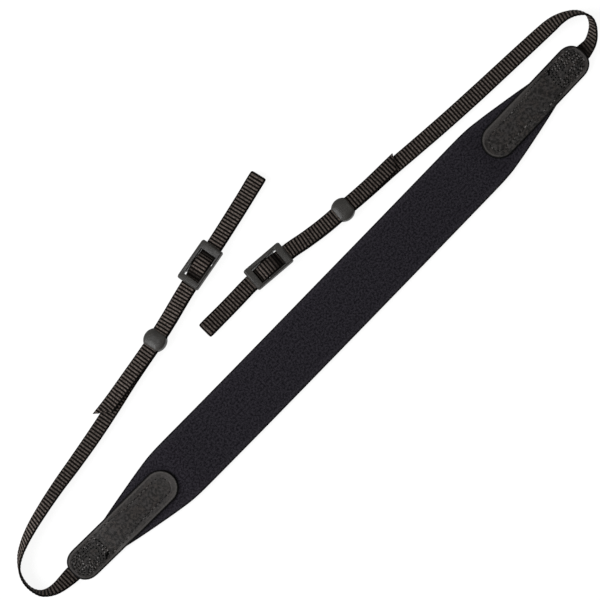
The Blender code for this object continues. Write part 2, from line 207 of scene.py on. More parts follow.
def skin(name, rings, materials, along=None, around=None):
    """Join rings into a closed skin, with a texture coordinate if its lengths are given."""
    rings = np.asarray(rings, float)
    count, size = rings.shape[:2]
    faces = ring_faces(count, size)
    faces += [tuple(range(size))[::-1], tuple(range((count - 1) * size, count * size))]
    made = add_mesh(name, rings.reshape(-1, 3), faces, materials)
    if along is not None:
        corners = [(along[i + a], around[j + b]) for i in range(count - 1)
                   for j in range(size) for a, b in ((0, 0), (0, 1), (1, 1), (1, 0))]
        corners += [(along[0], v) for v in around[:size]] * 2
        layer = made.data.uv_layers.new(name="millimetres")
        layer.data.foreach_set("uv", np.asarray(corners, np.float32).ravel())
    turn_outwards(made)
    return made


def keep(data, title, values, kind="FLOAT"):
    """Keep a number, or a vector, on each point of a mesh."""
    layer = data.attributes.new(title, kind, "POINT")
    layer.data.foreach_set("value" if kind == "FLOAT" else "vector",
                           np.asarray(values, np.float32).ravel())


def plain_mesh(piece):
    """Return what a piece's modifiers show, as a mesh of its own."""
    graph = bpy.context.evaluated_depsgraph_get()
    return bpy.data.meshes.new_from_object(piece.evaluated_get(graph), depsgraph=graph)


def refine(piece):
    """Round a piece off with one level of subdivision."""
    finer = piece.modifiers.new("finer", "SUBSURF")
    finer.levels = finer.render_levels = 1


def ride_and_name(piece, slot, *nodes):
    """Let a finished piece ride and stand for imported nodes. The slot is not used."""
    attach(piece, "root")
    if nodes:
        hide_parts(*nodes)
    print(piece.name, len(piece.data.polygons), "faces")


print("mesh helpers ready")

# %% [markdown]
# ## Small helpers for node trees
#
# A node tree is a formula drawn as boxes. Here it is written as one: a number from a tree
# can be added, multiplied or ramped like any other, and each step adds its node.

# %% Helpers for node trees
def feed(socket, value):
    """Link a number or another socket to an input, or set its plain value."""
    source = getattr(value, "socket", value)
    if isinstance(source, bpy.types.NodeSocket):
        socket.id_data.links.new(source, socket)
    else:
        socket.default_value = source


def add_node(tree, kind, inputs=None, **settings):
    """Add a node, set its properties, and feed its inputs."""
    node = tree.nodes.new(kind)
    for key, value in settings.items():
        setattr(node, key, value)
    for key, value in (inputs or {}).items():
        feed(node.inputs[key], value)
    return node


class Number:
    """A number in a node tree. Each sum with it adds a node."""

    def __init__(self, socket):
        self.socket = socket
        self.tree = socket.id_data

    def math(self, operation, *others):
        """Return what a math node makes of this number and up to two others."""
        values = dict(enumerate((self, *others)))
        return Number(add_node(self.tree, "ShaderNodeMath", values,
                               operation=operation).outputs[0])

    def __add__(self, other):
        return self.math("ADD", other)

    def __sub__(self, other):
        return self.math("SUBTRACT", other)

    def __rsub__(self, other):
        return self.math("MULTIPLY", -1.0).math("ADD", other)

    def __mul__(self, other):
        return self.math("MULTIPLY", other)

    def __truediv__(self, other):
        return self.math("DIVIDE", other)

    def __pow__(self, other):
        return self.math("POWER", other)

    def __abs__(self):
        return self.math("ABSOLUTE")

    def wave(self):
        """Return round ridges, one for each step of 1."""
        return abs((self * math.pi).math("SINE"))

    def ramp(self, start, end, to_start=0.0, to_end=1.0):
        """Move smoothly from one range to another."""
        node = add_node(self.tree, "ShaderNodeMapRange",
                        {"Value": self, "From Min": start, "From Max": end,
                         "To Min": to_start, "To Max": to_end},
                        interpolation_type="SMOOTHSTEP")
        return Number(node.outputs["Result"])


def mixed(factor, first, second):
    """Mix two colours."""
    node = add_node(factor.tree, "ShaderNodeMix", {0: factor}, data_type="RGBA")
    for key, colour in ((6, first), (7, second)):
        feed(node.inputs[key], (*colour, 1.0) if isinstance(colour, tuple) else colour)
    return node.outputs[2]


def noise(vector, scale, detail=2.0, roughness=0.5):
    """Return a soft noise between 0 and 1."""
    node = add_node(vector.id_data, "ShaderNodeTexNoise",
                    {"Vector": vector, "Scale": scale, "Detail": detail,
                     "Roughness": roughness})
    return Number(node.outputs["Fac"])


def split(vector):
    """Return a vector's three numbers."""
    node = add_node(vector.id_data, "ShaderNodeSeparateXYZ", {0: vector})
    return [Number(part) for part in node.outputs]


def attribute(tree, name):
    """Return a number that is kept on the mesh."""
    return Number(add_node(tree, "ShaderNodeAttribute", attribute_name=name).outputs["Fac"])


def bumped(shader, height, distance, strength=1.0):
    """Feed a relief into the shader's normal."""
    bump = add_node(height.tree, "ShaderNodeBump",
                    {"Height": height, "Distance": distance, "Strength": strength})
    feed(shader.inputs["Normal"], bump.outputs["Normal"])


print("node helpers ready")

# %% [markdown]
# ## Effects that several finishes share
#
# A shader group is made once and placed in each material with its own sizes. "Fine grain"
# gives a soft mottle for the colour and a small relief, as on leather and moulded
# plastic. "Yarn grid" crosses two sets of yarns, as in a weave or a knit.

# %% Shader group: fine grain
def shader_group(name, inputs, outputs):
    """Start a group with a Vector input, number inputs and number outputs."""
    group = bpy.data.node_groups.new(name, "ShaderNodeTree")
    group.interface.new_socket("Vector", in_out="INPUT", socket_type="NodeSocketVector")
    for title, value in inputs.items():
        socket = group.interface.new_socket(title, in_out="INPUT", socket_type="NodeSocketFloat")
        socket.default_value = value
    for title in outputs:
        group.interface.new_socket(title, in_out="OUTPUT", socket_type="NodeSocketFloat")
    given = group.nodes.new("NodeGroupInput").outputs
    return group, given, group.nodes.new("NodeGroupOutput").inputs


fine_grain, given, result = shader_group(
    "fine grain", {"Mottle Scale": 400.0, "Grain Scale": 1500.0}, ("Mottle", "Relief"))
pores = add_node(fine_grain, "ShaderNodeTexVoronoi",
                 {"Vector": given["Vector"], "Scale": given["Grain Scale"]},
                 feature="DISTANCE_TO_EDGE")
pebble = Number(pores.outputs["Distance"]).ramp(0.0, 0.22)
speck = noise(given["Vector"], given["Grain Scale"])
feed(result["Mottle"], noise(given["Vector"], given["Mottle Scale"], 3.0, 0.6))
feed(result["Relief"], pebble * 0.6 + speck * 0.4)
print("group:", fine_grain.name)

# %% Shader group: yarn grid
yarn_grid, given, result = shader_group(
    "yarn grid", {"Along": 0.6, "Across": 0.6, "Slant": 0.0, "Wander": 0.15,
                  "Fleck Scale": 1.7}, ("Height", "Fleck"))
along, across, _ = split(given["Vector"])
wander = (noise(given["Vector"], 0.9) - 0.5) * given["Wander"]
column = (across + wander) / given["Across"]
row = (along + wander + column.math("PINGPONG", 0.5) * given["Slant"]) / given["Along"]
feed(result["Height"], column.wave() ** 0.6 * row.wave() ** 0.6)
feed(result["Fleck"], noise(given["Vector"], given["Fleck Scale"], 3.0, 0.8))


def placed(tree, group, **inputs):
    """Place a shared group in a material with its own values, and return its results."""
    if group == yarn_grid:
        vector = add_node(tree, "ShaderNodeUVMap", uv_map="millimetres").outputs["UV"]
    else:
        vector = add_node(tree, "ShaderNodeTexCoord").outputs["Object"]
    node = add_node(tree, "ShaderNodeGroup", node_tree=group)
    feed(node.inputs["Vector"], vector)
    for title, value in inputs.items():
        feed(node.inputs[title.replace("_", " ")], value)
    return [Number(part) for part in node.outputs]


print("group:", yarn_grid.name)

# %% [markdown]
# ## The pad's cloth
#
# The pad is foam with a fine dark jersey on both faces. From the camera's distance the
# knit is only a faint speckle, and from near it is rows of small loops. The rolled edge
# is darker: painted shade where the cloth turns down. Just inside it a painted highlight
# lightens the knit, and a painted shadow darkens the line beside the leather, where the tab's
# edge shades it. The texture coordinate runs round the pad, so the knit doesn't stretch down its
# sides.

# %% Finish: dark jersey
TAB_INNER = 134.6
TAB_OUTER = 218.75
TAB_HALF_WIDTH = 10.5
TAB_SHIFT = 0.25                    # both tabs sit this far towards the webbings
JERSEY = (0.0006, 0.0003, 0.0014)
JERSEY_LIGHT = (0.0190, 0.0172, 0.0216)
# The colour of the painted shade on the rolled edge and of the painted shadow beside the tabs.
JERSEY_PAINTED_SHADE = (0.0010, 0.0007, 0.0010)
jersey, tree, shader = new_material("dark_jersey", JERSEY, 0.9, 0.05)
shader.inputs["Sheen Weight"].default_value = 0.02
shader.inputs["Sheen Roughness"].default_value = 0.5
loops, fleck = placed(tree, yarn_grid, Along=0.55, Across=0.75, Slant=0.5, Wander=0.12,
                      Fleck_Scale=0.8)
from_edge = attribute(tree, "from_edge")
# rim is a painted highlight on the knit just inside the rolled edge.
rim = from_edge.ramp(0.9, 1.4) * from_edge.ramp(1.6, 4.5, 0.18, 0.0)
tone = mixed(loops * 0.25 + fleck.ramp(0.38, 0.62) * 0.75 + rim, JERSEY, JERSEY_LIGHT)
# Painted shade darkens the rolled edge, where the cloth turns down.
tone = mixed(from_edge.ramp(0.50, 1.1, 1.0, 0.0), tone, JERSEY_PAINTED_SHADE)
# Below, pressed is a painted shadow on the knit in a narrow band along the tab's edge.
from_middle = add_node(tree, "ShaderNodeAttribute", attribute_name="from_middle")
along, across, _ = split(from_middle.outputs["Vector"])
past_round = (TAB_INNER + TAB_HALF_WIDTH - abs(along)).math("MAXIMUM", 0.0)
sideways = across - TAB_SHIFT
from_tab = (past_round * past_round + sideways * sideways).math("SQRT")
pressed = from_tab.ramp(TAB_HALF_WIDTH + 0.15, TAB_HALF_WIDTH + 0.50, 1.0, 0.0)
feed(shader.inputs["Base Color"], mixed(pressed, tone, JERSEY_PAINTED_SHADE))
bumped(shader, loops, 0.00012, 0.7)
print("finish:", jersey.name)

# %% [markdown]
# ## The pad
#
# On the real strap the pad is cut from a flat sheet of foam and its edge is pressed and
# rolled. Its outline is straight for most of its length and tapers to the leather tabs.
# Rings across the pad give that shape exactly: a table says how wide, thick and high the
# pad is along its length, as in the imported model.

# %% The pad's sizes
PAD_MIDDLE = (3.28, -37.64)
PAD_TIP = 192.0
PAD_CORNER = 1.9
PAD_CROWN = 0.35
PAD_CLOTH = 0.25                    # the jersey stands this far out over the foam's edge
PAD_ROWS = (                        # distance along, half width, thickness, lift
    (0.0, 18.95, 5.0, 0.0),
    (60.0, 18.95, 5.0, 0.0),
    (98.0, 18.95, 5.0, 0.0),
    (118.0, 18.95, 5.0, 0.8),
    (128.0, 18.90, 4.8, 1.45),
    (136.0, 18.55, 3.9, 1.6),
    (146.0, 17.25, 3.3, 1.6),
    (160.0, 14.85, 3.2, 1.6),
    (174.0, 12.25, 3.2, 1.6),
    (184.0, 10.20, 2.5, 1.6),
    (PAD_TIP, 8.40, 1.4, 1.6),
)
BOW = {"a": 2.3, "b": 1.25}         # the pad bends a little towards the webbings
BOW_REACH = 217.0


def curve_through(knots, values, at, even=False):
    """Read a smooth curve through the rows. Even curves never pass a row's value."""
    knots = np.asarray(knots, float)
    values = np.asarray(values, float)
    widths = np.diff(knots)[:, None]
    rates = np.diff(values, axis=0) / widths
    if even:
        same_way = rates[:-1] * rates[1:] > 0
        total = np.where(same_way, rates[:-1] + rates[1:], 1.0)
        inner = np.where(same_way, 2 * rates[:-1] * rates[1:] / total, 0.0)
    else:
        inner = (rates[:-1] * widths[1:] + rates[1:] * widths[:-1]) / (widths[:-1] + widths[1:])
    slopes = np.vstack([rates[:1], inner, rates[-1:]])
    cell = int(np.clip(np.searchsorted(knots, at) - 1, 0, len(knots) - 2))
    width = widths[cell, 0]
    t = (at - knots[cell]) / width
    start = (1 + 2 * t) * (1 - t) ** 2
    end = t * t * (3 - 2 * t)
    return (start * values[cell] + end * values[cell + 1]
            + t * (1 - t) ** 2 * width * slopes[cell]
            + t * t * (t - 1) * width * slopes[cell + 1])


def on_pad(x, y, z):
    """Move a point of the straight pad to its place in the strap, along the bow."""
    end = "a" if x < 0 else "b"
    bent = y + BOW[end] * (abs(x) / BOW_REACH) ** 3
    return (x + PAD_MIDDLE[0], bent + PAD_MIDDLE[1], z)


def pad_size(x):
    """Return the pad's half width, thickness and lift at x."""
    table = np.array(PAD_ROWS)
    return curve_through(table[:, 0], table[:, 1:], abs(x), even=True)


print("pad", 2 * PAD_TIP, "mm long")

# %% The pad's skin
PAD_STEP = 1.6
FACE_COLUMNS = 22
EDGE_TURNS = (-90, -62, -34, -6, 20, 42, 62, 78, 90)


def pad_profile(x):
    """Return one cross-section as (across, up) points, starting at the underside."""
    half, thick, lift = pad_size(x)
    corner = min(PAD_CORNER, thick * 0.42)
    side = half + PAD_CLOTH - corner
    crown = PAD_CROWN * thick / PAD_ROWS[0][2]
    points = []
    for turn in EDGE_TURNS:
        angle = math.radians(turn)
        middle = corner if turn < 0 else thick - crown - corner
        points.append((side + corner * math.cos(angle), lift + middle + corner * math.sin(angle)))
    for share in np.linspace(1, -1, FACE_COLUMNS + 1)[1:-1]:
        points.append((side * share, lift + thick - crown * share * share))
    points += [(-y, z) for y, z in reversed(points[:len(EDGE_TURNS)])]
    points += [(side * share, lift) for share in np.linspace(-1, 1, FACE_COLUMNS // 2 + 1)[1:-1]]
    return points


pad_places = np.linspace(-PAD_TIP, PAD_TIP, round(2 * PAD_TIP / PAD_STEP) + 1)
straight = [[(x, y, z) for y, z in pad_profile(x)] for x in pad_places]
pad = skin("pad_cover", [[on_pad(*p) for p in ring] for ring in straight], [jersey],
           pad_places, lengths_along(pad_profile(0.0), closed=True))
straight = [p for ring in straight for p in ring]
print("pad skin:", len(pad.data.vertices), "points")

# %% [markdown]
# Foam under cloth is never quite flat: it swells a little between its pressed edge and
# the seams that hold it down. A short cloth simulation with air pressure gives that
# swell. The underside, the edge and what lies under the tabs are pinned, and no point may
# move further than a fraction of a millimetre. The cloth is simulated ten times as large,
# because the solver is steadier at that size.

# %% Swell the pad with a cloth simulation
SWELL_LIMIT = 0.35
SWELL_FRAMES = 16
SIMULATION_SCALE = 10.0
HELD_TIP = 178.0                    # the pad is held firmly from here to its tip


def pinned_share(x, y, z):
    """Say how firmly a point of the pad is held: 1 is fixed."""
    half, thick, lift = pad_size(x)
    if z < lift + thick * 0.55:
        return 1.0
    rim = smooth_step((abs(y) - half + 4.5) / 2.5)
    under_tab = smooth_step((abs(x) - TAB_INNER + 3.0) / 4.0) * smooth_step((11.0 - abs(y)) / 1.0)
    return float(max(rim, under_tab, smooth_step((abs(x) - HELD_TIP) / 6.0)))


def read_points(mesh):
    """Return a mesh's points, in metres."""
    points = np.zeros(len(mesh.vertices) * 3)
    mesh.vertices.foreach_get("co", points)
    return points.reshape(-1, 3)


def swell(piece, pins):
    """Run the cloth with pressure and return where its points end, in metres."""
    copy = new_object("swelling", piece.data.copy())
    copy.data.transform(Matrix.Scale(SIMULATION_SCALE, 4))
    group = copy.vertex_groups.new(name="held")
    for index, share in enumerate(pins):
        group.add([index], share, "REPLACE")
    cloth = copy.modifiers.new("cloth", "CLOTH")
    cloth.settings.vertex_group_mass = "held"
    cloth.settings.use_pressure = True
    cloth.settings.uniform_pressure_force = 6.0
    cloth.settings.effector_weights.gravity = 0.0
    cloth.settings.mass = 0.4
    cloth.settings.tension_stiffness = 25.0
    cloth.settings.bending_stiffness = 8.0
    cloth.collision_settings.use_collision = False
    cloth.point_cache.frame_start = 1
    cloth.point_cache.frame_end = SWELL_FRAMES
    for step in range(1, SWELL_FRAMES + 1):
        bpy.context.scene.frame_set(step)
    shape = copy.evaluated_get(bpy.context.evaluated_depsgraph_get()).to_mesh()
    ends = read_points(shape) / SIMULATION_SCALE
    bpy.context.scene.frame_set(1)
    bpy.data.objects.remove(copy)
    return ends


starts = read_points(pad.data)
moves = swell(pad, [pinned_share(*p) for p in straight]) - starts
reach = np.linalg.norm(moves, axis=1, keepdims=True)
moves *= np.minimum(1.0, SWELL_LIMIT * MM / np.maximum(reach, 1e-9))
pad.data.vertices.foreach_set("co", (starts + moves).ravel())
print(f"cloth moved the pad by up to {reach.max() / MM:.2f} mm, kept {SWELL_LIMIT} mm")
keep(pad.data, "from_edge", [pad_size(x)[0] + PAD_CLOTH - abs(y) for x, y, z in straight])
keep(pad.data, "from_middle", straight, "FLOAT_VECTOR")
refine(pad)
ride_and_name(pad, "pad_fabric", "pad")

# %% [markdown]
# ## Where the webbings run
#
# Each webbing is one ribbon. Its middle line is a table of places with the roll of its
# face: 0 lies flat, 90 stands on the inner edge, and past that the other face looks up.
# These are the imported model's own values, so the dressed webbing lies where the solid
# does. From the sewn end the ribbon runs to the fold, and from the fold back over itself.

# %% The routes
TAB_PLY = 1.4
BACKING_PLY = 1.3
GAP = 0.3
WEB_WIDTH = 10.2
WEB_THICKNESS = 1.3
WEB_START = 193.0
WEB_TAB_HEIGHT = BACKING_PLY + GAP + WEB_THICKNESS / 2
LAYER_PITCH = 1.7
LOOP_RADIUS = 1.75
LOOP_OPENING = 14.0
TAIL_LIFT = 0.4
TAIL_DRIFT_START = 6.0
SLANT_BLEND = 14.0
CENTRE_BAR_TOP = 0.85
BAR_RISE = CENTRE_BAR_TOP + GAP + WEB_THICKNESS / 2
BAR_RISE_INNER = 2.8
BAR_RISE_OUTER = 8.4
ROUTE_A = (                         # x, y, z, roll
    (-WEB_START, 1.60, WEB_TAB_HEIGHT, 0.0),
    (-205.30, 2.00, WEB_TAB_HEIGHT, 0.0),
    (-217.20, 2.45, WEB_TAB_HEIGHT, 0.0),
    (-221.50, 2.65, 2.75, 16.0),
    (-225.80, 2.85, 3.45, 31.0),
    (-229.80, 3.20, 4.16, 43.5),
    (-233.70, 4.10, 4.76, 54.5),
    (-237.25, 5.75, 5.20, 65.5),
    (-240.20, 8.25, 5.42, 75.0),
    (-241.95, 11.60, 5.52, 83.5),
    (-242.75, 15.35, 5.55, 88.0),
    (-242.20, 21.10, 5.55, 90.5),
    (-239.85, 26.40, 5.53, 94.0),
    (-237.30, 29.40, 5.49, 99.5),
    (-232.65, 32.95, 5.33, 109.5),
    (-225.50, 36.40, 5.04, 119.0),
    (-217.00, 39.25, 4.68, 127.0),
    (-205.00, 42.15, 4.33, 133.5),
    (-187.60, 45.40, 3.92, 140.5),
    (-169.80, 48.00, 3.42, 148.0),
    (-149.10, 51.40, 3.05, 153.0),
    (-132.00, 54.70, 3.05, 153.5),
    (-110.50, 59.35, 3.20, 157.0),
    (-98.70, 61.60, 3.52, 160.0),
    (-84.60, 64.10, 3.72, 162.0),
    (-69.30, 67.40, 3.36, 163.0),
    (-52.50, 71.50, 3.08, 164.0),
    (-33.60, 75.55, 2.95, 164.0),
    (-14.80, 79.20, 2.72, 165.5),
    (3.80, 83.20, 1.85, 171.0),
    (28.00, 88.60, 1.20, 175.0),
)
ROUTE_B = (                         # x, y, z, roll
    (WEB_START, 0.75, WEB_TAB_HEIGHT, 0.0),
    (205.70, 1.00, WEB_TAB_HEIGHT, 0.0),
    (216.80, 1.20, WEB_TAB_HEIGHT, 0.0),
    (220.60, 1.30, 3.05, -22.0),
    (224.50, 1.85, 4.10, -42.0),
    (228.10, 3.45, 4.62, -52.0),
    (231.30, 5.80, 5.05, -62.0),
    (234.00, 8.60, 5.32, -70.5),
    (235.70, 12.00, 5.48, -80.0),
    (235.80, 15.60, 5.50, -94.0),
    (233.95, 18.85, 5.38, -106.0),
    (231.10, 21.55, 5.22, -113.5),
    (227.70, 23.50, 5.00, -120.0),
    (222.10, 25.40, 4.34, -133.5),
    (216.15, 26.35, 3.45, -147.5),
    (208.00, 26.95, 2.92, -154.5),
    (194.00, 27.75, 2.58, -159.0),
    (176.20, 28.65, 2.33, -162.0),
    (152.30, 29.95, 2.08, -165.0),
    (128.30, 31.60, 2.14, -164.0),
    (108.70, 33.30, 2.35, -162.0),
    (88.70, 35.10, 2.75, -161.0),
    (70.00, 36.45, 3.20, -163.0),
    (50.30, 38.30, 3.45, -165.0),
    (35.00, 39.75, 3.30, -164.5),
    (22.50, 41.70, 3.10, -164.0),
    (11.50, 43.95, 2.98, -164.0),
    (-4.70, 45.75, 2.93, -164.0),
    (-20.50, 47.00, 2.65, -165.0),
    (-33.00, 46.95, 2.02, -168.5),
    (-57.10, 47.10, 1.20, -175.0),
)
STRAPS = {                          # the places are distances back from the fold's axis
    "a": {"route": ROUTE_A, "buckle_at": 63.1, "keeper_at": 115.3, "tail_at": 168.0,
          "tail_drift": 2.5, "tail_slant": 43.0, "buckle_shift": 0.3, "buckle_turn": -2.2},
    "b": {"route": ROUTE_B, "buckle_at": 52.5, "keeper_at": 107.9, "tail_at": 150.3,
          "tail_drift": 1.0, "tail_slant": 29.0, "buckle_shift": 0.3, "buckle_turn": 0.0},
}
print("routes:", ", ".join(STRAPS))


# %% Reading a route
class Route:
    """The middle line of a webbing's lower layer, and how its face is turned there."""

    def __init__(self, rows):
        self.rows = np.array(rows, float)
        self.rows[:, :2] += PAD_MIDDLE
        self.knots = lengths_along(self.rows[:, :3])
        self.length = self.knots[-1]

    def row(self, s):
        """Return x, y, z and roll at the distance s from the sewn end."""
        place = curve_through(self.knots, self.rows[:, :2], s)
        height_and_roll = curve_through(self.knots, self.rows[:, 2:], s, even=True)
        return np.concatenate([place, height_and_roll])

    def frame(self, s):
        """Return the point, the way along, the way across and the way up the stack."""
        nudge = 0.05
        here = self.row(s)
        along = unit(self.row(s + nudge)[:3] - self.row(s - nudge)[:3])
        level = unit(np.array([-along[1], along[0], 0.0]))
        up = np.cross(along, level)
        roll = math.radians(here[3])
        across = level * math.cos(roll) + up * math.sin(roll)
        return here[:3], along, across, -np.cross(along, across)


def rise_over_bar(strap, back):
    """Return how far the webbing climbs over the buckle's centre bar."""
    away = abs(back - strap["buckle_at"])
    return BAR_RISE * smooth_step((BAR_RISE_OUTER - away) / (BAR_RISE_OUTER - BAR_RISE_INNER))


def upper_height(strap, back):
    """Return the height of the upper layer's middle over the lower layer's level."""
    height = LAYER_PITCH + rise_over_bar(strap, back)
    height += (2 * LOOP_RADIUS - LAYER_PITCH) * smooth_step(1 - back / LOOP_OPENING)
    share = (back - strap["keeper_at"]) / (strap["tail_at"] - strap["keeper_at"])
    return height + TAIL_LIFT * smooth_step(share)


routes = {end: Route(strap["route"]) for end, strap in STRAPS.items()}
for end, route in routes.items():
    print(f"webbing {end}: {route.length:.0f} mm to the fold")

# %% [markdown]
# ## The webbing's weave
#
# The webbing has thick ribs across it, 2 mm apart, and smooth thin edges. The ribs catch
# the light, and painted shade makes the grooves between them and the thin edges nearly
# black. Geometry Nodes raise the ribs on the ribbon, because they repeat along its path: a
# number kept on each point says how far along the ribbon it lies, and a sine of that number
# lifts the point along its normal. The tree keeps the rib's height on the points too, for
# the colour to read.

# %% Finish: ribbed webbing
RIB_LIGHT = (0.162, 0.134, 0.118)
RIB_MIDDLE = (0.056, 0.045, 0.039)
# One dark colour for the gaps between yarns, and for painted shade in the grooves, on the thin
# edges and along the ribs.
RIB_DARK_AND_SHADE = (0.0016, 0.0011, 0.0009)
weave, tree, shader = new_material("ribbed_weave", RIB_MIDDLE, 0.8, 0.04)
yarn, fleck = placed(tree, yarn_grid, Along=0.95, Across=0.42, Slant=0.0, Wander=0.25,
                     Fleck_Scale=0.75)
between_yarns = (1.0 - yarn) * 0.35
# The kept number paints light and shade along the ribs. Where it is low, the ribs take painted
# shade.
painted_shade = 1.0 - attribute(tree, "worn")
# Painted shade: the grooves between the ribs and the thin edges that curve down are darkened.
groove = attribute(tree, "rib").ramp(0.56, 0.95, 1.0, 0.0)
selvage = abs(attribute(tree, "side")).ramp(0.79, 0.89)
tone = mixed(fleck.ramp(0.40, 0.60), RIB_MIDDLE, RIB_LIGHT)
for dark in (between_yarns, painted_shade, groove, selvage):
    tone = mixed(dark, tone, RIB_DARK_AND_SHADE)
feed(shader.inputs["Base Color"], tone)
bumped(shader, yarn, 0.00012, 0.8)
print("finish:", weave.name)


# %% Geometry Nodes: ribs along a ribbon
def geometry_tree(name, **inputs):
    """Start a geometry tree with a mesh input and named inputs of the given kinds."""
    tree = bpy.data.node_groups.new(name, "GeometryNodeTree")
    tree.is_modifier = True
    tree.interface.new_socket("Geometry", in_out="INPUT", socket_type="NodeSocketGeometry")
    tree.interface.new_socket("Geometry", in_out="OUTPUT", socket_type="NodeSocketGeometry")
    for title, kind in inputs.items():
        tree.interface.new_socket(title, in_out="INPUT", socket_type=f"NodeSocket{kind}")
    return tree, tree.nodes.new("NodeGroupInput").outputs


def finish_tree(tree, geometry, given):
    """End a geometry tree with plain geometry in its material."""
    real = add_node(tree, "GeometryNodeRealizeInstances", {"Geometry": geometry})
    dressed = add_node(tree, "GeometryNodeSetMaterial",
                       {"Geometry": real.outputs["Geometry"], "Material": given["Material"]})
    feed(tree.nodes.new("NodeGroupOutput").inputs["Geometry"], dressed.outputs["Geometry"])
    print("tree:", tree.name)


def kept(tree, name, kind="FLOAT"):
    """Return what the mesh keeps under a name."""
    node = add_node(tree, "GeometryNodeInputNamedAttribute", {"Name": name}, data_type=kind)
    return Number(node.outputs["Attribute"])


ribs, given = geometry_tree("ribs along a ribbon", Pitch="Float", Height="Float",
                            Waver="Float", Seed="Float", Material="Material")
run, side, skew = (kept(ribs, name) for name in ("run", "side", "skew"))
spot = add_node(ribs, "ShaderNodeCombineXYZ", {"X": run * 0.22, "Y": side * 1.3,
                                               "Z": given["Seed"]})
uneven = noise(spot.outputs["Vector"], 1.0) - 0.5
shifted = skew * side + (uneven * given["Waver"] + run)
wave = (shifted / given["Pitch"]).wave()
with_ribs = add_node(ribs, "GeometryNodeStoreNamedAttribute",
                     {"Geometry": given["Geometry"], "Name": "rib", "Value": wave},
                     data_type="FLOAT", domain="POINT")
lift = (wave ** 0.6 - 0.7) * abs(side).ramp(0.86, 0.98, 1.0, 0.0) * given["Height"]
normal = ribs.nodes.new("GeometryNodeInputNormal")
offset = add_node(ribs, "ShaderNodeVectorMath",
                  {0: normal.outputs["Normal"], "Scale": lift}, operation="SCALE")
raised = add_node(ribs, "GeometryNodeSetPosition",
                  {"Geometry": with_ribs.outputs["Geometry"],
                   "Offset": offset.outputs["Vector"]})
finish_tree(ribs, raised.outputs["Geometry"], given)


# %% Turning a tree's result into a plain mesh
def apply_tree(piece, tree, **values):
    """Run a geometry tree on a piece with named values and keep the result as its mesh."""
    modifier = piece.modifiers.new(tree.name, "NODES")
    modifier.node_group = tree
    for item in tree.interface.items_tree:
        if item.item_type == "SOCKET" and item.in_out == "INPUT" and item.name in values:
            modifier[item.identifier] = values[item.name]
    plain = plain_mesh(piece)
    piece.modifiers.remove(modifier)
    piece.data = plain
    plain.shade_smooth()
    return piece


print("ready to run trees")

# %% [markdown]
# ## The webbings
#
# The ribbon's cross-section has thin round edges. Its sections lie a quarter of a
# millimetre apart, so each rib has eight of them. The free end is cut on a slant: the
# last sections lean along the ribbon until they lie in the cut.

# %% The webbings' stations
SECTION_STEP = 0.25
FOLD_STEPS = 24


def webbing_stations(strap, route):
    """Return point, way across and slant of each section, from the sewn end on."""
    turned = -math.copysign(1.0, strap["route"][-1][3])
    stations = []
    for back in np.arange(route.length, SECTION_STEP / 2, -SECTION_STEP):
        point, along, across, up = route.frame(route.length - back)
        stations.append((point + up * rise_over_bar(strap, back), across, 0.0))
    point, along, across, up = route.frame(route.length)
    for turn in np.linspace(0, math.pi, FOLD_STEPS + 1):
        out = along * math.sin(turn) + up * (1 - math.cos(turn))
        stations.append((point + out * LOOP_RADIUS, across, 0.0))
    tail = strap["tail_at"]
    slope = math.tan(math.radians(strap["tail_slant"]))
    drift_length = tail - strap["keeper_at"] - TAIL_DRIFT_START
    for back in np.arange(SECTION_STEP, tail + SECTION_STEP / 2, SECTION_STEP):
        point, along, across, up = route.frame(route.length - back)
        share = max(back - strap["keeper_at"] - TAIL_DRIFT_START, 0.0) / drift_length
        drift = across * turned * strap["tail_drift"] * share ** 2
        cut = turned * slope * max(back - tail + SLANT_BLEND, 0.0) / SLANT_BLEND
        stations.append((point + up * upper_height(strap, back) + drift, across, cut))
    return stations


stations = {end: webbing_stations(STRAPS[end], routes[end]) for end in STRAPS}
for end in stations:
    print(f"webbing {end}: {len(stations[end])} sections")

# %% [markdown]
# The ribs lean where the webbing turns. Their colour is painted lighter or darker by the
# distance along the webbing, standing for light and shade: painted shade beside tab b and
# where the webbing dives under an end bar, and painted light on the slope over the centre bar
# and where a stretch faces the soft boxes. Tables say how much, by the distance along it.

# %% The webbings' ribbons
COLUMN_SHARES = (0.0, 0.25, 0.5, 0.7, 0.84, 0.92, 0.97)
RIB_PITCH = 2.12
RIB_HEIGHT = 0.34
RIB_SEED = {"a": 3.0, "b": 8.0}
SKEW = {"a": ((0, 0.0), (48, 0.0), (60, 1.6), (72, 3.0), (92, 1.6), (120, 0.0), (900, 0.0)),
        "b": ((0, 0.0), (24, 0.4), (34, -1.2), (46, -1.8), (60, -0.4), (80, 0.0), (900, 0.0))}
# Painted light and shade on the ribs along each webbing: low numbers paint shade, high numbers
# paint light.
PAINTED_LIGHT = {"a": ((0, 0.45), (30, 0.45), (44, 0.62), (62, 0.62), (70, 0.92), (92, 0.92), (120, 0.50)),
        "b": ((0, 0.05), (27, 0.05), (34, 0.5), (40, 0.8), (60, 0.62), (120, 0.58),
              (250, 0.58), (270, 0.75))}
PAINTED_LIGHT_OVER_BAR = {"a": ((-7.4, 0.02), (-6.6, 0.30), (-4.6, 0.42), (-3.0, 0.75), (3.8, 0.85),
                       (4.8, 0.30), (6.4, 0.20), (7.6, 0.02)),
                 "b": ((-8.0, 0.02), (-6.8, 0.35), (-5.4, 0.72), (-0.2, 0.66), (1.0, 0.42),
                       (3.4, 0.40), (4.2, 0.22), (6.4, 0.18), (7.6, 0.0))}
PAINTED_LIGHT_BY_BUCKLE = {"a": 0.79, "b": 0.55}
PAINTED_LIGHT_BY_TAIL = {"a": 0.74, "b": 0.53}
DIVE_INNER = 9.0                    # painted shade under an end bar reaches this far from the centre bar ...
DIVE_OUTER = 10.4                   # ... and fades out by here


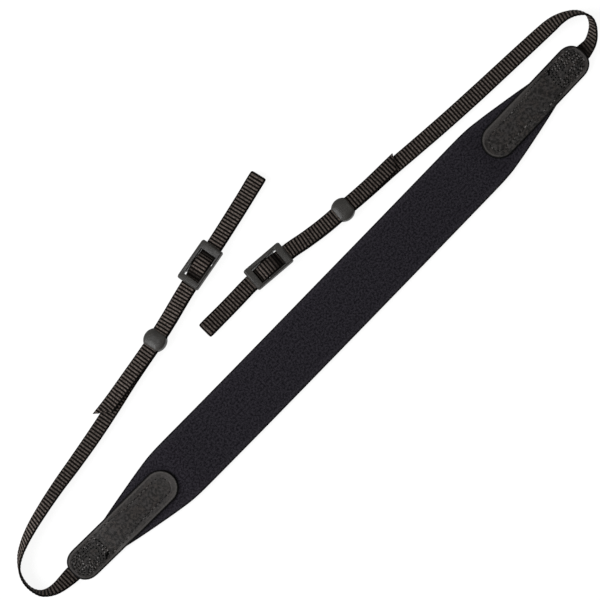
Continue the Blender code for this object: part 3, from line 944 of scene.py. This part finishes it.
def ribbon_profile():
    """Return (share of the half width, height) round the ribbon's section."""
    shares = [-s for s in reversed(COLUMN_SHARES[1:])] + list(COLUMN_SHARES)
    top = [(s, WEB_THICKNESS / 2 * (1 - abs(s) ** 9) ** 0.5) for s in shares]
    return [(-1.0, 0.0)] + top + [(1.0, 0.0)] + [(s, -h) for s, h in reversed(top)]


def painted_light_along(end, run):
    """Return the painted light and shade on the ribs, by the distance from the sewn end."""
    over_bar = routes[end].length + math.pi * LOOP_RADIUS + STRAPS[end]["buckle_at"]
    over_keeper = over_bar + STRAPS[end]["keeper_at"] - STRAPS[end]["buckle_at"]
    marks = list(PAINTED_LIGHT[end])
    marks += [(over_bar + x, brightness) for x, brightness in PAINTED_LIGHT_OVER_BAR[end]]
    for side in (-1, 1):
        marks += [(over_bar + side * DIVE_OUTER, PAINTED_LIGHT_BY_BUCKLE[end]),
                  (over_bar + side * DIVE_INNER, 0.02)]
    marks += [(over_keeper - 9, PAINTED_LIGHT_BY_BUCKLE[end]), (over_keeper + 9, PAINTED_LIGHT_BY_TAIL[end])]
    marks.sort()
    return np.interp(run, *zip(*marks))


profile = np.array(ribbon_profile())
across_mm = profile * (WEB_WIDTH / 2, 1.0)
for end in STRAPS:
    points = np.array([station[0] for station in stations[end]])
    run = lengths_along(points)
    rings = []
    for (point, across, cut), along in zip(stations[end], np.gradient(points, axis=0)):
        along = unit(along)
        across = unit(across - along * np.dot(along, across))
        face = np.cross(along, across)
        rings.append([point + across * a + face * c + along * cut * a for a, c in across_mm])
    ribbon = skin(f"webbing_{end}_ribs", rings, [], run, lengths_along(across_mm, closed=True))
    slants = [station[2] * a for station in stations[end] for a, c in across_mm]
    keep(ribbon.data, "run", np.repeat(run, len(profile)) + slants)
    keep(ribbon.data, "side", np.tile(profile[:, 0], len(run)))
    keep(ribbon.data, "skew", np.repeat(np.interp(run, *zip(*SKEW[end])), len(profile)))
    keep(ribbon.data, "worn", np.repeat(painted_light_along(end, run), len(profile)))
    apply_tree(ribbon, ribs, Pitch=RIB_PITCH, Height=RIB_HEIGHT * MM, Waver=0.5,
               Seed=RIB_SEED[end], Material=weave)
    ride_and_name(ribbon, "webbing", f"webbing_{end}")

# %% [markdown]
# ## The leather
#
# The tabs are smooth dark grey leather with a fine grain. Their cut edges are burnished
# nearly black, and just inside the edge a painted highlight makes the leather a little
# lighter. Each point of a tab keeps its distance from the cut edge, so the finish can follow the
# outline.

# %% Finish: tab leather
LEATHER = (0.0016, 0.0012, 0.0010)
LEATHER_LIGHT = (0.0210, 0.0190, 0.0184)
LEATHER_WARM = (0.0214, 0.0176, 0.0158)
# The colour of the painted highlight just inside the burnished edge and over the pad's end.
LEATHER_HIGHLIGHT = (0.0330, 0.0300, 0.0285)
BURNISHED = (0.0004, 0.0003, 0.0003)
leather, tree, shader = new_material("grained_leather", LEATHER, 0.55, 0.17)
mottle, relief = placed(tree, fine_grain, Mottle_Scale=620.0, Grain_Scale=2100.0)
patch, _ = placed(tree, fine_grain, Mottle_Scale=150.0, Grain_Scale=2100.0)
inset = attribute(tree, "inset")
light = mixed(patch.ramp(0.44, 0.58), LEATHER_LIGHT, LEATHER_WARM)
tone = mixed(mottle.ramp(0.37, 0.63), LEATHER, light)
# rim is a painted highlight just inside the burnished edge. The kept number adds painted highlight
# at the end and sides, or painted shade that holds the rim back.
rim = inset.ramp(0.65, 0.90) * inset.ramp(1.2, 2.0, 0.80, 0.0)
tone = mixed(rim + attribute(tree, "worn"), tone, LEATHER_HIGHLIGHT)
tone = mixed(inset.ramp(0.50, 0.75, 1.0, 0.0), tone, BURNISHED)
feed(shader.inputs["Base Color"], tone)
dull = inset.ramp(0.4, 0.9, 1.0, 0.0)
feed(shader.inputs["Roughness"], dull.math("MAXIMUM", relief.ramp(0.2, 0.9, 0.62, 0.46)))
bumped(shader, relief, 0.00010, 0.6)
print("finish:", leather.name)

# %% [markdown]
# ## The tabs
#
# Each tab is two plies with the pad's tip and the webbing's sewn end between them. The
# upper ply drapes from the pad's top down to the webbing, and beside the webbing its
# edges are pulled down by the stitches. Rings that follow the outline from the cut edge
# inwards make the ply, so a ring can lie in the groove that the stitches press.

# %% The plies' outline and height
SEAM_INSET = 4.6                    # along the pad
BOX_INSET = 2.8                     # and nearer the edge where the webbing is held
SEAM_MOVES = (166.0, 16.0)          # where the seam starts to near the edge, and over what
BOX_START = 195.0                   # the dense stitching begins here
END_MIDDLE = 208.0
END_FULLNESS = 2.4
DROOP = 1.25                        # how far the edge is pulled down past the pad ...
DROOP_FROM = (183.0, 9.0)           # ... from here, and over what length


def tab_outline(inset):
    """Return the outline at a distance from the cut edge, from its outer end round."""
    half = TAB_HALF_WIDTH - inset
    reach = TAB_OUTER - END_MIDDLE - inset
    round_middle = TAB_INNER + TAB_HALF_WIDTH
    side = []
    for turn in np.linspace(0, math.pi / 2, 25):
        side.append((END_MIDDLE + reach * math.cos(turn) ** (2 / END_FULLNESS),
                     half * math.sin(turn) ** (2 / END_FULLNESS)))
    side += [(x, half) for x in np.linspace(END_MIDDLE, round_middle, 64)[1:]]
    for turn in np.linspace(0, math.pi / 2, 20)[1:-1]:
        side.append((round_middle - half * math.sin(turn), half * math.cos(turn)))
    tip = [(round_middle - half, 0.0)]
    return side + tip + [(x, -y) for x, y in reversed(side[1:])]


def distance_from_edge(x, y):
    """Return how far inside the tab's outline a point lies."""
    if x < END_MIDDLE:
        round_x = min(x - TAB_INNER - TAB_HALF_WIDTH, 0.0)
        return TAB_HALF_WIDTH - math.hypot(round_x, y)
    low, high = 0.0, TAB_HALF_WIDTH - 0.01
    for _ in range(24):
        inset = (low + high) / 2
        share = ((x - END_MIDDLE) / (TAB_OUTER - END_MIDDLE - inset)) ** END_FULLNESS
        share += (abs(y) / (TAB_HALF_WIDTH - inset)) ** END_FULLNESS
        low, high = (inset, high) if share < 1 else (low, inset)
    return low


def past(x, start, length):
    """Say how far x has come through a stretch, from 0 to 1."""
    return smooth_step((x - start) / length)


def seam_inset(x):
    """Return how far inside the edge the perimeter seam runs."""
    return SEAM_INSET + (BOX_INSET - SEAM_INSET) * past(x, *SEAM_MOVES)


def draped_height(x, y):
    """Return the height of the upper ply's underside over the pad or the webbing."""
    under = WEB_TAB_HEIGHT + WEB_THICKNESS / 2
    if x < PAD_TIP:
        half, thick, lift = pad_size(x)
        under = max(lift + thick, under)
    return under + GAP - DROOP * past(x, *DROOP_FROM) * past(abs(y), 5.7, 3.4)


print(len(tab_outline(0.0)), "points round a ply")

# %% The stitch groove and the pillow of the leather
TOP_INSETS = (0.0, 0.03, 0.12, 0.28, 0.5, 0.8, 1.2, 1.7, 2.2, 2.5, 2.8, 3.1, 3.5, 3.9, 4.3, 4.6,
              4.9, 5.3, 5.7, 6.2, 6.9, 7.9, 8.9, 9.8, 10.3)
EDGE_ROUNDING = 0.5
NOTCH = {"a": (195.9, -6.0), "b": (195.6, 6.4)}   # a pucker where two rows of stitches meet


def ply_relief(inset, x, y, end, top):
    """Return how far the leather stands above or below its plain face."""
    seam = seam_inset(x)
    groove = -0.20 * math.exp(-((inset - seam) / 0.35) ** 2)
    rounding = -EDGE_ROUNDING * (1 - min(inset / EDGE_ROUNDING, 1.0)) ** 2.2
    pillow = 0.12 * past(inset, seam + 0.3, 3.0)
    pillow += 0.12 * math.sin(math.pi * min(inset / seam, 1.0)) ** 2
    dimple = math.sin(2.1 * x + 1.3 * math.sin(1.7 * y))
    dimple *= math.sin(2.4 * y + 0.9 * math.sin(1.9 * x))
    pressed = past(x, BOX_START, 1.6) * past(inset, 2.4, 0.8) * smooth_step(7.0 - inset)
    away = math.hypot(x - NOTCH[end][0], y - NOTCH[end][1])
    pucker = -0.55 * math.exp(-(away / 0.75) ** 2)
    relief = groove + rounding + pillow + pressed * (0.09 * dimple - 0.16) + pucker
    return relief if top else min(relief - 0.14, 0.0)     # the backing lies on the table


def ply_rings(top, end):
    """Return the rings of one ply as (inset, x, y, z) rows, from its far face round."""
    rings = []
    rows = [(6.5, "far"), (1.0, "far"), (0.15, "far"), (0.0, "low"), (0.0, "high")]
    for inset, level in rows + [(inset, "near") for inset in TOP_INSETS[1:]]:
        ring = []
        for x, y in tab_outline(inset):
            low = draped_height(x, y) if top else 0.0
            thick = TAB_PLY if top else BACKING_PLY
            z = {"far": low, "low": low + 0.18, "high": low + thick - EDGE_ROUNDING,
                 "near": low + thick + ply_relief(inset, x, y, end, top)}[level]
            ring.append((inset, x, y, z if top else BACKING_PLY - z))
        rings.append(ring)
    return np.array(rings)


print(len(TOP_INSETS) + 4, "rings in a ply")

# %% [markdown]
# A painted highlight lightens the leather at its end over the pad and along some of its
# sides. A second number on each point says how much. Below zero it paints shade that holds the
# painted rim highlight back.

# %% The four plies
END_HIGHLIGHT = {"a": 1.10, "b": 0.20}      # painted highlight on the leather at its end over the pad
END_HIGHLIGHT_LENGTH = 15.0
SIDE_HIGHLIGHT_AND_SHADE = {"a": ((0.25, 0.35), (0.25, 0.0)),      # painted highlight, or shade below zero, along each long side over the pad
              "b": ((0.48, -0.70), (-0.70, 0.40))}   # and then over the webbing
FREE_EDGE = (174.0, 8.0)                # past the pad the burnished edge shows wider


def make_ply(name, end, top):
    """Make one leather ply with its distance from the cut edge on each point."""
    sign = -1 if end == "a" else 1
    rings = ply_rings(top, end)
    count, size = rings.shape[:2]
    points = [on_pad(sign * x, y + TAB_SHIFT, z) for ring in rings for inset, x, y, z in ring]
    faces = ring_faces(count, size)
    for base in (0, (count - 1) * size):
        for j in range(size // 2):
            loop = [base + j, base + j + 1, base + (size - j - 1) % size, base + (size - j) % size]
            faces.append(tuple(dict.fromkeys(loop)))
    ply = add_mesh(name, points, faces, [leather])
    inset, x, y = (rings[:, :, k] for k in range(3))
    # Painted highlight at the end over the pad, and painted highlight or shade along the sides.
    worn = END_HIGHLIGHT[end] * np.clip(1 - (x - TAB_INNER) / END_HIGHLIGHT_LENGTH, 0.0, 1.0) ** 2
    worn *= np.clip(0.75 - y / 24.0, 0.0, 1.0)
    outer = past(x, 186.0, 10.0)
    sides = (past(y, 5.5, 1.5), past(-y, 6.5, 1.0))
    for over_pad, over_webbing, side in zip(*SIDE_HIGHLIGHT_AND_SHADE[end], sides):
        worn += side * (over_pad * (1 - outer) + over_webbing * outer)
    free = np.clip((x - FREE_EDGE[0]) / FREE_EDGE[1], 0.0, 1.0)
    keep(ply.data, "inset", inset - 0.25 * free)
    keep(ply.data, "worn", worn)
    turn_outwards(ply)
    refine(ply)
    return ply


for end in STRAPS:
    ride_and_name(make_ply(f"tab_{end}_leather", end, True), "tab_leather", f"tab_{end}")
    ride_and_name(make_ply(f"backing_{end}_leather", end, False), "backing_leather",
                  f"backing_{end}")

# %% [markdown]
# ## The stitches
#
# One seam runs all round each tab, and its outer end is filled with closely sewn rings
# that hold the webbing. Geometry Nodes lay them: a line on the leather becomes a curve,
# its points are spread at the stitch length, and a small arched stitch is placed on each
# one, turned along the seam. Between two stitches a near-black bead paints the shade inside the
# needle's hole.

# %% Finishes: thread, and painted shade for the needle holes
def thread_finish(name, light):
    """Make a waxed thread that is rubbed light in places."""
    made, tree, shader = new_material(name, light, 0.6, 0.2)
    mottle, relief = placed(tree, fine_grain, Mottle_Scale=300.0, Grain_Scale=5200.0)
    tone = mixed(mottle.ramp(0.46, 0.62), (0.004, 0.0036, 0.0034), light)
    feed(shader.inputs["Base Color"], tone)
    bumped(shader, relief, 0.00005)
    return made


seam_thread = thread_finish("seam_thread", (0.066, 0.062, 0.060))
box_thread = thread_finish("box_thread", (0.108, 0.103, 0.100))
# Painted shade: near-black beads stand for the shade inside the needle holes.
needle_hole, tree, shader = new_material("needle_hole", (0.001, 0.001, 0.001), 0.9, 0.02)
mottle, relief = placed(tree, fine_grain, Mottle_Scale=900.0, Grain_Scale=5200.0)
feed(shader.inputs["Base Color"],
     mixed(mottle, (0.0005, 0.0005, 0.0005), (0.0015, 0.0014, 0.0014)))
print("finishes:", seam_thread.name, box_thread.name, needle_hole.name)

# %% Geometry Nodes: stitches along a seam
stitches, given = geometry_tree("stitches along a seam", Pitch="Float", Length="Float",
                                Width="Float", Height="Float", Wander="Float", Seed="Int",
                                Material="Material")


def scattered(low, high):
    """Return a vector that differs from stitch to stitch."""
    node = add_node(stitches, "FunctionNodeRandomValue",
                    {"Min": low, "Max": high, "Seed": given["Seed"]}, data_type="FLOAT_VECTOR")
    return node.outputs["Value"]


seam = add_node(stitches, "GeometryNodeMeshToCurve", {"Mesh": given["Geometry"]})
spread = add_node(stitches, "GeometryNodeResampleCurve",
                  {"Curve": seam.outputs["Curve"], "Length": given["Pitch"]}, mode="LENGTH")
aside = add_node(stitches, "ShaderNodeVectorMath",
                 {0: scattered((-1.0, -1.0, 0.0), (1.0, 1.0, 0.0)),
                  "Scale": given["Wander"]}, operation="SCALE")
spread = add_node(stitches, "GeometryNodeSetPosition",
                  {"Geometry": spread.outputs["Curve"], "Offset": aside.outputs["Vector"]})
bead = add_node(stitches, "GeometryNodeMeshUVSphere",
                {"Segments": 10, "Rings": 6, "Radius": 0.5})
size = add_node(stitches, "ShaderNodeCombineXYZ",
                {"X": given["Length"], "Y": given["Width"], "Z": given["Height"]})
stitch = add_node(stitches, "GeometryNodeTransform",
                  {"Geometry": bead.outputs["Mesh"], "Scale": size.outputs["Vector"]})
tangent = stitches.nodes.new("GeometryNodeInputTangent")
facing = add_node(stitches, "FunctionNodeAxesToRotation",
                  {"Primary Axis": kept(stitches, "outward", "FLOAT_VECTOR"),
                   "Secondary Axis": tangent.outputs["Tangent"]},
                  primary_axis="Z", secondary_axis="X")
swayed = add_node(stitches, "FunctionNodeRotateRotation",
                  {"Rotation": facing.outputs["Rotation"],
                   "Rotate By": scattered((0.0, 0.0, -0.16), (0.0, 0.0, 0.16))},
                  rotation_space="LOCAL")
laid = add_node(stitches, "GeometryNodeInstanceOnPoints",
                {"Points": spread.outputs["Geometry"], "Instance": stitch.outputs["Geometry"],
                 "Rotation": swayed.outputs["Rotation"],
                 "Scale": scattered((0.88, 0.85, 0.8), (1.08, 1.12, 1.1))})
finish_tree(stitches, laid.outputs["Instances"], given)


# %% Seam lines on the leather
def perimeter_seam():
    """Return the path of the seam all round: it runs nearer the edge at the outer end."""
    wide = np.array(tab_outline(SEAM_INSET))
    near = np.array(tab_outline(BOX_INSET))
    share = past(near[:, :1], *SEAM_MOVES)
    return [tuple(p) for p in wide * (1 - share) + near * share]


def box_ring(inset, start):
    """Return one closed ring of the dense end, with its inner side at "start"."""
    ring = [(x, y) for x, y in tab_outline(inset) if x > start + 0.8]
    half = TAB_HALF_WIDTH - inset
    bulge = [(start - 0.7 * math.cos(turn), half * math.sin(turn))
             for turn in np.linspace(math.pi / 2.4, -math.pi / 2.4, 15)]
    return [p for p in ring if p[1] >= 0] + bulge + [p for p in ring if p[1] < 0]


def seam_line(name, path, end, top, offset, raise_by, closed=True):
    """Lay a path of the straight tab on its ply, as a line with the way out of the face."""
    sign = -1 if end == "a" else 1
    path = np.array(path + path[:1] if closed else path)
    marks = lengths_along(path)
    points = []
    ways = []
    for at in np.arange(offset, marks[-1] + (offset if closed else 0.0), 0.4):
        x, y = (np.interp(at % marks[-1] if closed else at, marks, path[:, k]) for k in (0, 1))
        height = ply_relief(distance_from_edge(x, y), x, y, end, top)
        if top:
            height += draped_height(x, y) + TAB_PLY
            slope = [(draped_height(x + dx, y + dy) - draped_height(x - dx, y - dy)) / 0.4
                     for dx, dy in ((0.2, 0.0), (0.0, 0.2))]
            out = unit(np.array([-slope[0] * sign, -slope[1], 1.0]))
        else:
            height = -height
            out = np.array([0.0, 0.0, -1.0])
        points.append(np.array(on_pad(sign * x, y + TAB_SHIFT, height)) + out * raise_by)
        ways.append(out)
    mesh = bpy.data.meshes.new(name)
    steps = [(i, i + 1) for i in range(len(points) - 1)]
    mesh.from_pydata([tuple(p * MM) for p in points], steps, [])
    keep(mesh, "outward", ways, "FLOAT_VECTOR")
    return new_object(name, mesh)


def sewn(line, sizes, wander, seed, material):
    """Turn a seam line into beads of a pitch, length, width and height in millimetres."""
    pitch, length, width, height = (value * MM for value in sizes)
    return apply_tree(line, stitches, Pitch=pitch, Length=length, Width=width, Height=height,
                      Wander=wander * MM, Seed=seed, Material=material)


print("seams ready")

# %% Sew the tabs
PERIMETER = perimeter_seam()
DENSE_RINGS = {"a": ((4.1, 194.6), (5.5, 196.4), (7.0, 198.6), (8.6, 205.6)),
               "b": ((4.1, 194.6), (5.5, 196.4), (7.0, 198.2), (8.6, 202.6))}
SEAM_SIZES = (2.9, 1.9, 1.30, 0.08)     # pitch, stitch, needle hole, how far it wanders
DENSE_SIZES = (2.0, 1.3, 0.95, 0.32)


def joined(name, parts, slot):
    """Join several pieces into one that rides."""
    mesh = bmesh.new()
    materials = sorted({part.data.materials[-1] for part in parts}, key=lambda made: made.name)
    for part in parts:
        start = len(mesh.faces)
        mesh.from_mesh(part.data)
        mesh.faces.ensure_lookup_table()
        index = materials.index(part.data.materials[-1])
        for face in mesh.faces[start:]:
            face.material_index = index
    result = bpy.data.meshes.new(name)
    mesh.to_mesh(result)
    mesh.free()
    for material in materials:
        result.materials.append(material)
    result.shade_smooth()
    for part in parts:
        bpy.data.objects.remove(part)
    ride_and_name(new_object(name, result), slot)


for end in STRAPS:
    for top in (True, False):
        ply = f"tab_{end}" if top else f"backing_{end}"
        parts = []
        runs = [(PERIMETER, *SEAM_SIZES)]
        runs += [(box_ring(*ring), *DENSE_SIZES) for ring in DENSE_RINGS[end]]
        for index, (path, pitch, length, hole, wander) in enumerate(runs):
            thread = seam_thread if index == 0 and end == "a" else box_thread
            line = seam_line(f"{ply}_seam_{index}", path, end, top, 0.0, 0.04 if top else -0.16)
            parts.append(sewn(line, (pitch, length, 0.58, 0.42), wander, index, thread))
            line = seam_line(f"{ply}_holes_{index}", path, end, top, pitch / 2, 0.02)
            parts.append(sewn(line, (pitch, hole, 1.0, 0.14), wander, index, needle_hole))
        if top:
            # The arms and the blot are near-black beads: painted shade in the pucker where two
            # rows of stitches meet.
            x, y = NOTCH[end]
            side = math.copysign(1.0, y)
            arms = [(x - 0.8, y - 0.9 * side), (x, y), (x + 2.2, y + 1.4 * side)]
            blot = [(x - 0.6, y + 0.1), (x + 0.5, y)]
            for title, path, width in (("arms", arms, 0.8), ("blot", blot, 1.9)):
                line = seam_line(f"{ply}_{title}", path, end, top, 0.0, 0.14, closed=False)
                parts.append(sewn(line, (0.8, 1.3, width, 0.5), 0.0, 5, needle_hole))
        joined(f"{ply}_stitches", parts, "tab_leather" if top else "backing_leather")

# %% [markdown]
# ## Keepers and buckles
#
# Both are moulded in a satin grey plastic. Their edges are rounded, and the fine grain of
# the mould shows only in the gloss. They are built where the webbing passes, square to
# it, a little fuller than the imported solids, and then bevelled.

# %% Finish: satin plastic
PLASTIC = (0.0120, 0.0108, 0.0094)
PLASTIC_LIGHT = (0.0175, 0.0160, 0.0140)
plastic, tree, shader = new_material("satin_plastic", PLASTIC, 0.46, 0.30)
mottle, relief = placed(tree, fine_grain, Mottle_Scale=420.0, Grain_Scale=4200.0)
feed(shader.inputs["Base Color"], mixed(mottle.ramp(0.3, 0.7), PLASTIC, PLASTIC_LIGHT))
feed(shader.inputs["Roughness"], mottle.ramp(0.25, 0.75, 0.50, 0.38))
bumped(shader, relief, 0.00004, 0.5)
print("finish:", plastic.name)


# %% Building a moulded piece
def settle(piece):
    """Replace a piece's mesh by what its modifiers show."""
    plain = plain_mesh(piece)
    piece.modifiers.clear()
    piece.data = plain


def cut_boxes(piece, boxes):
    """Cut boxes out of a piece, each given by two corners."""
    for low, high in boxes:
        outline = ((low[0], low[1]), (high[0], low[1]), (high[0], high[1]), (low[0], high[1]))
        cutter = skin("cutter", [[(x, y, z) for x, y in outline] for z in (low[2], high[2])], [])
        cut = piece.modifiers.new("cut", "BOOLEAN")
        cut.operation = "DIFFERENCE"
        cut.object = cutter
        settle(piece)
        bpy.data.objects.remove(cutter)


def round_edges(piece, width):
    """Bevel a piece's sharp edges and smooth its faces."""
    bevel = piece.modifiers.new("bevel", "BEVEL")
    bevel.width = width * MM
    bevel.segments = 3
    bevel.limit_method = "ANGLE"
    bevel.angle_limit = math.radians(35)
    bevel.harden_normals = True
    settle(piece)
    piece.data.shade_smooth()
    piece.data.set_sharp_from_angle(angle=math.radians(40))


def place_on_route(piece, route, back, ahead, shift, turn=0.0):
    """Put a piece on the webbing, with its place in its mesh."""
    point, along, across, up = route.frame(route.length - back)
    left = np.cross(up, along)
    point = point + (left if left[1] > 0 else -left) * shift + along * ahead
    axes = Matrix((Vector(along), Vector(left), Vector(up))).transposed()
    place = Matrix.Translation(Vector(point) * MM) @ axes.to_4x4()
    piece.data.transform(place @ Matrix.Rotation(math.radians(turn), 4, "Z"))


print("moulding helpers ready")

# %% The buckles
BUCKLE_ROWS = (                     # height, length, width, corner
    (-0.60, 26.3, 12.6, 0.8),
    (-0.25, 27.4, 14.0, 1.2),
    (0.20, 27.7, 14.95, 1.3),
    (2.95, 27.7, 14.95, 1.3),
    (3.85, 26.2, 14.6, 1.1),
    (4.20, 25.4, 14.0, 0.9),
)
BUCKLE_OUTLINE_SHIFT = {"a": (0.45, 0.43), "b": (-0.05, 0.50)}    # the window lies off the middle
BUCKLE_MOVE = {"a": 0.60, "b": 0.40}    # the dressed buckle lies this far towards the fold
BUCKLE_BAR_UNDERSIDE = LAYER_PITCH + WEB_THICKNESS / 2 + 0.35
WINDOW_LENGTH = 18.5
WINDOW_WIDTH = 11.3
WINDOW_SHIFT = -0.2                 # the window lies a little towards the pad
CENTRE_BAR_LENGTH = 4.8


def rounded_outline(length, width, corner, steps=8):
    """Return a rectangle's outline with round corners, counter-clockwise."""
    reach_x = length / 2 - corner
    reach_y = width / 2 - corner
    points = []
    for sign_x, sign_y, start in ((1, 1, 0), (-1, 1, 90), (-1, -1, 180), (1, -1, 270)):
        for step in range(steps + 1):
            angle = math.radians(start + 90 * step / steps)
            points.append((sign_x * reach_x + corner * math.cos(angle),
                           sign_y * reach_y + corner * math.sin(angle)))
    return points


for end, strap in STRAPS.items():
    route = routes[end]
    point, along, across, up = route.frame(route.length - strap["buckle_at"])
    away = 1 if np.cross(up, along)[1] > 0 else -1
    ahead, outward = BUCKLE_OUTLINE_SHIFT[end]
    rings = [[(x + ahead, y + outward * away, height)
              for x, y in rounded_outline(length, width, corner)]
             for height, length, width, corner in BUCKLE_ROWS]
    buckle = skin(f"buckle_{end}_moulding", rings, [plastic])
    bar = CENTRE_BAR_LENGTH / 2
    window = WINDOW_LENGTH / 2
    left, right = (WINDOW_SHIFT * away + way * WINDOW_WIDTH / 2 for way in (-1, 1))
    far = WINDOW_LENGTH + 2.0
    boxes = [((-bar - 0.5, left, CENTRE_BAR_TOP), (bar + 0.5, right, far))]
    for side in (-1, 1):
        ends = sorted((side * bar, side * window))
        boxes.append(((ends[0], left, -far), (ends[1], right, far)))
        ends = sorted((side * (window - 0.5), side * far))
        boxes.append(((ends[0], left, -far), (ends[1], right, BUCKLE_BAR_UNDERSIDE)))
    corner, other = (right, left) if away > 0 else (left, right)
    for start, length, edge in ((-window, 1.6, corner), (3.5, 1.5, other)):
        # the table shows through in two small corners
        boxes.append(((start, edge - 0.6, -far), (start + length, edge + 0.6, far)))
    cut_boxes(buckle, boxes)
    round_edges(buckle, 0.22)
    place_on_route(buckle, route, strap["buckle_at"], BUCKLE_MOVE[end], strap["buckle_shift"],
                   strap["buckle_turn"])
    ride_and_name(buckle, "hardware", f"buckle_{end}")

# %% The keepers
KEEPER_MOVE = {"a": (0.80, 0.30), "b": (-0.25, 0.10)}     # towards the fold, and sideways
KEEPER_RADIUS = 7.05
KEEPER_HALF_LENGTH = 5.2
KEEPER_SLOT_WIDTH = 11.0
KEEPER_ROWS = (                     # height, inset
    (-1.70, 0.35),
    (-1.60, 0.15),
    (-1.35, 0.00),
    (2.65, 0.00),
    (2.96, 0.14),
    (3.26, 0.42),
    (3.62, 0.95),
    (3.96, 1.75),
    (4.22, 2.65),
    (4.40, 3.60),
    (4.48, 4.60),
)


def keeper_ring(height, inset):
    """Return a disc's outline with two flats across the webbing."""
    radius = KEEPER_RADIUS - inset
    start = math.acos(min((KEEPER_HALF_LENGTH - inset * 0.8) / radius, 1.0))
    return [(radius * math.cos(base + turn), radius * math.sin(base + turn), height)
            for base in (0.0, math.pi) for turn in np.linspace(start, math.pi - start, 33)]


for end, strap in STRAPS.items():
    rings = [keeper_ring(*row) for row in KEEPER_ROWS]
    keeper = skin(f"keeper_{end}_moulding", rings, [plastic])
    inside = KEEPER_SLOT_WIDTH / 2
    slot_low = -WEB_THICKNESS / 2 - GAP
    slot_high = LAYER_PITCH + WEB_THICKNESS / 2 + GAP
    cut_boxes(keeper, [((-20, -inside, slot_low), (20, inside, slot_high))])
    round_edges(keeper, 0.2)
    place_on_route(keeper, routes[end], strap["keeper_at"], *KEEPER_MOVE[end])
    ride_and_name(keeper, "hardware", f"keeper_{end}")

# %% [markdown]
# ## The size
#
# The dressed strap should stay in the imported model's box, apart from a little that cloth
# may stand proud. Both boxes are printed, to compare.

# %% Print both boxes
SEEN_BOX = [list(corner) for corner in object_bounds()]
for title, (low, high) in (("packed", CAD_BOX), ("dressed", SEEN_BOX)):
    print(title, [round((b - a) / MM, 1) for a, b in zip(low, high)], "mm")
